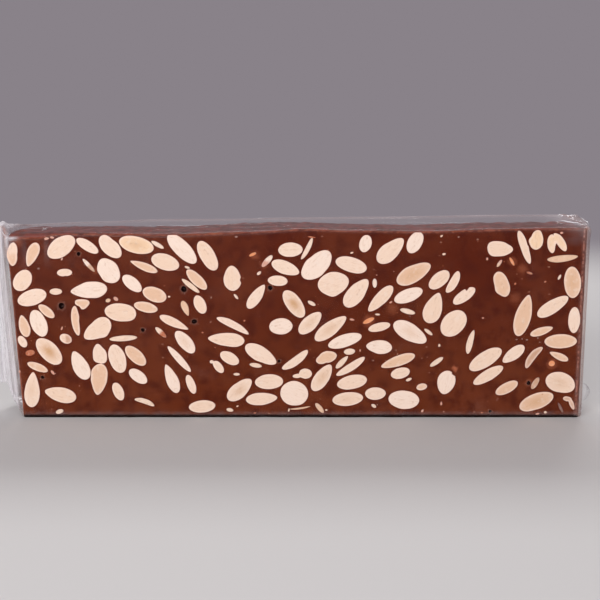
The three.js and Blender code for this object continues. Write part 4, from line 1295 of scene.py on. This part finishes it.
def film_areas(shape):
    """Named areas of the film, with 0 for the points outside them and up to 1 for those inside."""
    points, tent, fin, left = shape.points, shape.tent, shape.fin, shape.left
    x, _, height = points.T
    front = shape.from_front < FILM_EDGE
    on_top = np.clip(point_normals(points, shape.faces)[:, 2], 0, 1) * (tent < 0.3)
    corner = np.hypot((x - CORNER_AREA[0]) / 2, height - CORNER_AREA[1])
    corner = near_line(corner, CORNER_AREA[2]) * ~left
    ragged = 0.5 + 0.5 * rough(points * [0.5, 1, 1], 1.6, 16.0)
    upper_front = near_line(np.hypot(shape.from_front, shape.from_top), FRONT_LINE)
    lower_front = near_line(np.hypot(shape.from_front, shape.from_foot - LOW_LINE), FRONT_LINE)
    right_end = near_line(shape.x - HALF_LENGTH + 0.6, END_LINE)
    left_end = near_line(shape.x + HALF_LENGTH, END_LINE)
    reach = -HALF_LENGTH - shape.x
    # Painted reflection: faint lilac patches over the front stand for the film's sheen where it lies on the
    # nougat
    reflection_patches = rough(points, 16.0, 17.0) + 0.5 * rough(points, 5.0, 18.0)
    # Spots: milky film beyond the left end, painted highlights and reflections over the cut face
    spots = np.zeros(len(points))
    for spot_x, spot_z, half_width, half_height, strength in MILKY_AND_HIGHLIGHT_SPOTS:
        away = np.hypot((x + HALF_LENGTH - MARK - spot_x) / half_width, (height - spot_z) / half_height)
        spots += strength * near_line(away, 1.0) * front
    return {
        "all": np.ones(len(points)),
        "tent": tent,
        "right_tent": tent * ~left,
        "tent_start": near_line(reach - TENT_START[0], TENT_START[1]),
        "left_band": smoothstep(*LEFT_BAND, reach) * (1 - fin) * left,
        "fin": fin,
        "ear": shape.ear * near_line(height - EAR_AREA[0], EAR_AREA[1]),
        "foot": near_line(height - FOOT_AREA[0], FOOT_AREA[1]) * smoothstep(0.0, 0.4, tent) * left,
        "corner": corner,
        "ragged_corner": corner * ragged,
        "on_top": on_top,
        "back_strip": near_line(shape.from_back, BACK_STRIP) * on_top,
        "front_edge": upper_front,
        "upper_front": upper_front * ragged,
        "lower_front": lower_front * ragged,
        "upper_back": near_line(np.hypot(shape.from_back, shape.from_top), BACK_LINE_WIDTH),
        "right_end": right_end,
        "left_end": left_end,
        "right_line": right_end * ragged * front,
        "left_line": left_end * ragged * front,
        "reflection_patches": smoothstep(0.35, 1.0, reflection_patches) * (1 - tent),
        "spots": spots,
    }


def weighted(areas, weights):
    return sum(weight * areas[name] for name, weight in weights.items())


def wrinkled(shape, areas):
    """The film's points with its folds and crumples. A fin's two sides are shifted together."""
    points, tent, fin, left = shape.points, shape.tent, shape.fin, shape.left
    folds = rough(points * [0.5, 0.3, 0.04], 1.0, 11.0) + 0.5 * rough(points * [0.9, 0.6, 0.12], 1.0, 12.0)
    crumple = rough(points, 4.0, 13.0) + 0.6 * rough(points, 1.9, 14.0)
    waves = rough(points * [0.04, 0.16, 0.1], 1.0, 15.0)
    move = TENT_WAVE * tent * (1 - 0.6 * fin) * folds + weighted(areas, CRUMPLED) * crumple
    move += TOP_WAVE * areas["on_top"] * waves
    placed = points + (move * (fin == 0))[:, None] * point_normals(points, shape.faces)
    pleat = FIN_PLEAT * np.sin(4 * math.pi * fin + 3 * points[:, 2] / 100) * np.minimum(1, 3 * fin)
    shift = (pleat * left + 0.5 * folds) * (fin > 0)
    placed[:, 1] += shift * left
    placed[:, 0] += 0.4 * shift * ~left
    return placed


def film_wrap(top, material):
    """The sleeve with its ends, in one closed skin, and the values that its material reads."""
    shape = FilmShape(top)
    areas = film_areas(shape)
    placed = wrinkled(shape, areas)
    areas["bends"] = smoothstep(0.25, 1.4, bending(placed, shape.faces)) * np.maximum(shape.tent, 0.12)
    looks = {name: weighted(areas, weights) for name, weights in FILM_LOOKS.items()}
    for name, most in (("crease", MILKIEST), ("haze", MILKIEST), ("blush", 1)):
        looks[name] = np.clip(looks[name], 0, most)
    beyond = np.maximum(shape.tent, smoothstep(HALF_LENGTH, HALF_LENGTH + 0.6, shape.x))
    shade = np.where(shape.left, 0.0, smoothstep(0.0, 0.3, beyond))
    streaks = np.where((areas["on_top"] > 0.5)[:, None], STREAKS_ALONG, STREAKS_UPRIGHT)
    builder = Builder()
    builder.add(placed + [MIDDLE_X, MIDDLE_Y, BASE], shape.faces.tolist(), flow=placed * streaks,
                shade=np.maximum(shade, SHADE_ON_TOP * areas["on_top"]), **looks)
    return builder.build("film", material)


def add_fold(builder, tree, cast, corners, width, height, milky, blush):
    """A pinched fold that stands on the film where the line through the corners, cast that way, meets it."""
    hits = []
    for point in open_curve(corners, FOLD_STEP):
        place, normal, _, _ = tree.ray_cast(Vector(point), Vector(cast))
        if place:
            hits.append((np.array(place), np.array(normal)))
    if len(hits) < 3:
        return
    middles, normals = (np.array(part) for part in zip(*hits))
    sideways = np.cross(np.gradient(middles, axis=0), normals)
    sideways /= np.maximum(np.linalg.norm(sideways, axis=1), 1e-6)[:, None]
    taper = (np.sin(np.linspace(0.04, 1, len(hits)) * math.pi * 0.96) ** 0.6)[:, None]
    side = sideways * width / 2 * taper
    ring = [side, normals * height * taper, -side, -FOLD_ROOT * normals]
    points = np.stack([middles + part for part in ring], axis=1).reshape(-1, 3)
    count = len(hits)
    faces = [[4 * i + k, 4 * i + (k + 1) % 4, 4 * i + 4 + (k + 1) % 4, 4 * i + 4 + k]
             for i in range(count - 1) for k in range(4)]
    faces += [[3, 2, 1, 0], [4 * count - 4, 4 * count - 3, 4 * count - 2, 4 * count - 1]]
    none = np.zeros(len(points))
    builder.add(points, faces, crease=(milky * taper * [[0.1, 1.0, 0.1, 0.3]]).ravel(), haze=none, shade=none,
                blush=none + blush, sheen=none + FOLD_SHEEN, flow=points)


def scattered_folds():
    """Finer folds by rule: in the left tent, on the right end, at the back's corners and along the top."""
    draw = random.Random(31)
    rows = []
    for cast in ("from_front", "from_back"):
        for _ in range(TENT_FOLDS):
            x, low, rise = draw.uniform(-161, -153), draw.uniform(6, 70), draw.uniform(10, 30)
            bow = draw.uniform(-0.8, 0.8)
            line = [(x, low), (x + bow, low + rise / 2), (x + draw.uniform(-1, 1), low + rise)]
            width, milky = draw.uniform(0.3, 0.6), draw.uniform(0.15, 0.45)
            rows.append((cast, line, width, 0.25, milky, draw.choice((0, 0, 0.5))))
    for _ in range(END_FOLDS):
        y, z = draw.uniform(-17, 17), draw.choice((draw.uniform(4, 24), draw.uniform(76, 98)))
        line = [(y, z), (y * 0.75, z + draw.uniform(-3, 3)), (y * 0.45, z + draw.uniform(-6, 6))]
        rows.append(("from_right", line, 0.6, 0.3, draw.uniform(0.15, 0.4), 0))
    for _ in range(BACK_FOLDS):
        side, up = draw.choice((-1, 1)), draw.choice((-1, 1))
        x, z = side * draw.uniform(120, 147), 50 + up * draw.uniform(30, 46)
        run = side * draw.uniform(6, 22)
        line = [(x, z), (x - run / 2, z - up * draw.uniform(1, 4)), (x - run, z - up * abs(run) / 4)]
        rows.append(("from_back", line, 0.6, 0.25, draw.uniform(0.1, 0.3), 0))
    for _ in range(TOP_FOLDS):
        x, y, run = draw.uniform(-145, 100), draw.uniform(-15, 18), draw.uniform(12, 45)
        line = [(x, y), (x + run / 2, y + draw.uniform(-1, 1)), (x + run, y + draw.uniform(-1.5, 1.5))]
        rows.append(("down", line, 0.45, 0.12, draw.uniform(0.05, 0.2), draw.choice((0, 0.5))))
    for x, y, size in STARS:
        for k in range(STAR_RAYS):
            angle = math.tau * k / STAR_RAYS + draw.uniform(-0.4, 0.4)
            reach = size * draw.uniform(0.5, 1)
            tip = (x + reach * math.cos(angle), y + 2.5 * reach * math.sin(angle))
            line = [(x, y), ((x + tip[0]) / 2 + draw.uniform(-0.3, 0.3), (y + tip[1]) / 2), tip]
            rows.append(("down", line, 0.6, 0.35, 0.4, 0))
    return rows


def film_folds(film, material):
    tree = BVHTree.FromPolygons([Vector(p) for p in places_of(film.data)],
                                [list(p.vertices) for p in film.data.polygons])
    rows = [(cast, *row) for cast, rows_of_cast in FOLDS.items() for row in rows_of_cast]
    builder = Builder()
    for cast, line, *looks in rows + scattered_folds():
        direction, in_space = CASTS[cast]
        corners = np.array([in_space(*point) for point in line]) + [MARK_X, MIDDLE_Y, BASE]
        add_fold(builder, tree, direction, corners, *looks)
    return builder.build("film_folds", material)


# ---------------- The part ----------------

def dress(ob, node):
    """The piece rides on the part's one body, and the node of the solids that it stands for is hidden."""
    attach(ob, "root")
    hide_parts(node)


def kernels(material, top):
    """The pieces that stand for the solids' almonds: their sections and pockets."""
    draw = random.Random(7)
    sections, pockets = [], []
    for name in sorted(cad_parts):
        if name.startswith("almond_"):
            outline = flat_loops(*node_mesh(name), FRONT - LEVEL, FRONT + LEVEL)[0]
            section = Section(from_mark(outline), draw).particular().kept_under(top)
            depth = KERNEL_DEPTH + KERNEL_DEPTH_SHARE * section.width
            builder = Builder()
            pockets.append(inlay(builder, FRONT_FACE, section, depth))
            dress(builder.build(name.replace("almond", "kernel"), material, SECTION_SHARP), name)
            sections.append(section)
    return sections, pockets


def chips(material, top):
    """The smaller sections that the solids fuse to the mass: the piece, their sections and pockets."""
    draw = random.Random(8)
    level = FRONT - PROUD_IN_CAD
    outlines = flat_loops(MASS_POINTS, MASS_TRIANGLES, level - LEVEL, level + LEVEL)
    sections = [Section(from_mark(outline), draw).particular().kept_under(top) for outline in outlines]
    builder = Builder()
    pockets = [inlay(builder, FRONT_FACE, section, min(CHIP_DEPTH, section.width)) for section in sections]
    return builder.build("front_chips", material, SECTION_SHARP), sections, pockets


def back_and_ends(material, height):
    """Sections on the sides that the solids leave plain: the piece and its pockets."""
    builder = Builder()
    pockets = []
    sides = ((BACK_FACE, HALF_LENGTH, BACK_COUNT, 11), (LEFT_FACE, HALF_DEPTH, END_COUNT, 12),
             (RIGHT_FACE, HALF_DEPTH, END_COUNT, 13))
    for face, half, count, seed in sides:
        for section in scattered_sections(half, height, count, seed):
            pockets.append(inlay(builder, face, section, min(CHIP_DEPTH, section.width)))
    return builder.build("back_and_end_kernels", material, SECTION_SHARP), pockets


def nougat_mass(top, pits, pockets, sections):
    points, faces = mass_surface(top)
    builder = Builder()
    builder.add(points, faces.tolist())
    mass = builder.build("nougat_mass")
    draw = random.Random(9)
    cut(mass, pockets + [pit_room(pit, draw) for pit in pits])
    surface(mass.data, nougat_material(pits), MASS_SHARP)
    set_distances(mass.data, top, sections)
    return mass


def main_pieces():
    almond = almond_material()
    top = Top()
    pits = front_pits()
    sections, pockets = kernels(almond, top)
    front_chips, chip_sections, chip_pockets = chips(almond, top)
    hidden, hidden_pockets = back_and_ends(almond, top.heights.min() - 2)
    mass = nougat_mass(top, pits, pockets + chip_pockets + hidden_pockets, sections + chip_sections)
    dress(mass, "nougat")
    for ob in (front_chips, hidden, crumbs(almond, pits)):
        dress(ob, "nougat")
    clear = film_material()
    film = film_wrap(top, clear)
    dress(film, "film_wrap")
    dress(film_folds(film, clear), "film_wrap")


# ---------------- Camera, light and floor ----------------

def camera():
    data = bpy.data.cameras.new("camera")
    data.lens, data.sensor_width = LENS, SENSOR
    data.clip_start, data.clip_end = 0.01, 100
    ob = place_object("camera", data)
    ob.location = (MARK_X * MM, (FRONT - CAMERA_BACK) * MM, CAMERA_UP * MM)
    ob.rotation_euler = (math.radians(90 - CAMERA_PITCH), 0, 0)
    bpy.context.scene.camera = ob


def area_light(name, place, aim, size, power):
    data = bpy.data.lights.new(name, "AREA")
    data.shape = "RECTANGLE"
    data.size, data.size_y = size
    data.energy = power
    ob = place_object(name, data)
    ob.location = place
    ob.rotation_euler = (Vector(aim) - Vector(place)).to_track_quat("-Z", "Y").to_euler()


def studio():
    world = bpy.data.worlds.new("studio")
    world.use_nodes = True
    world.node_tree.nodes["Background"].inputs["Color"].default_value = BACKDROP
    bpy.context.scene.world = world
    for light in LIGHTS:
        area_light(*light)
    bpy.ops.mesh.primitive_circle_add(vertices=FLOOR_CORNERS, radius=FLOOR_RADIUS, fill_type="TRIFAN")
    floor = bpy.context.object
    floor.name = "floor"
    floor.data.materials.append(floor_material())
    bpy.context.scene.view_settings.view_transform = "Standard"


camera()
studio()
main_pieces()
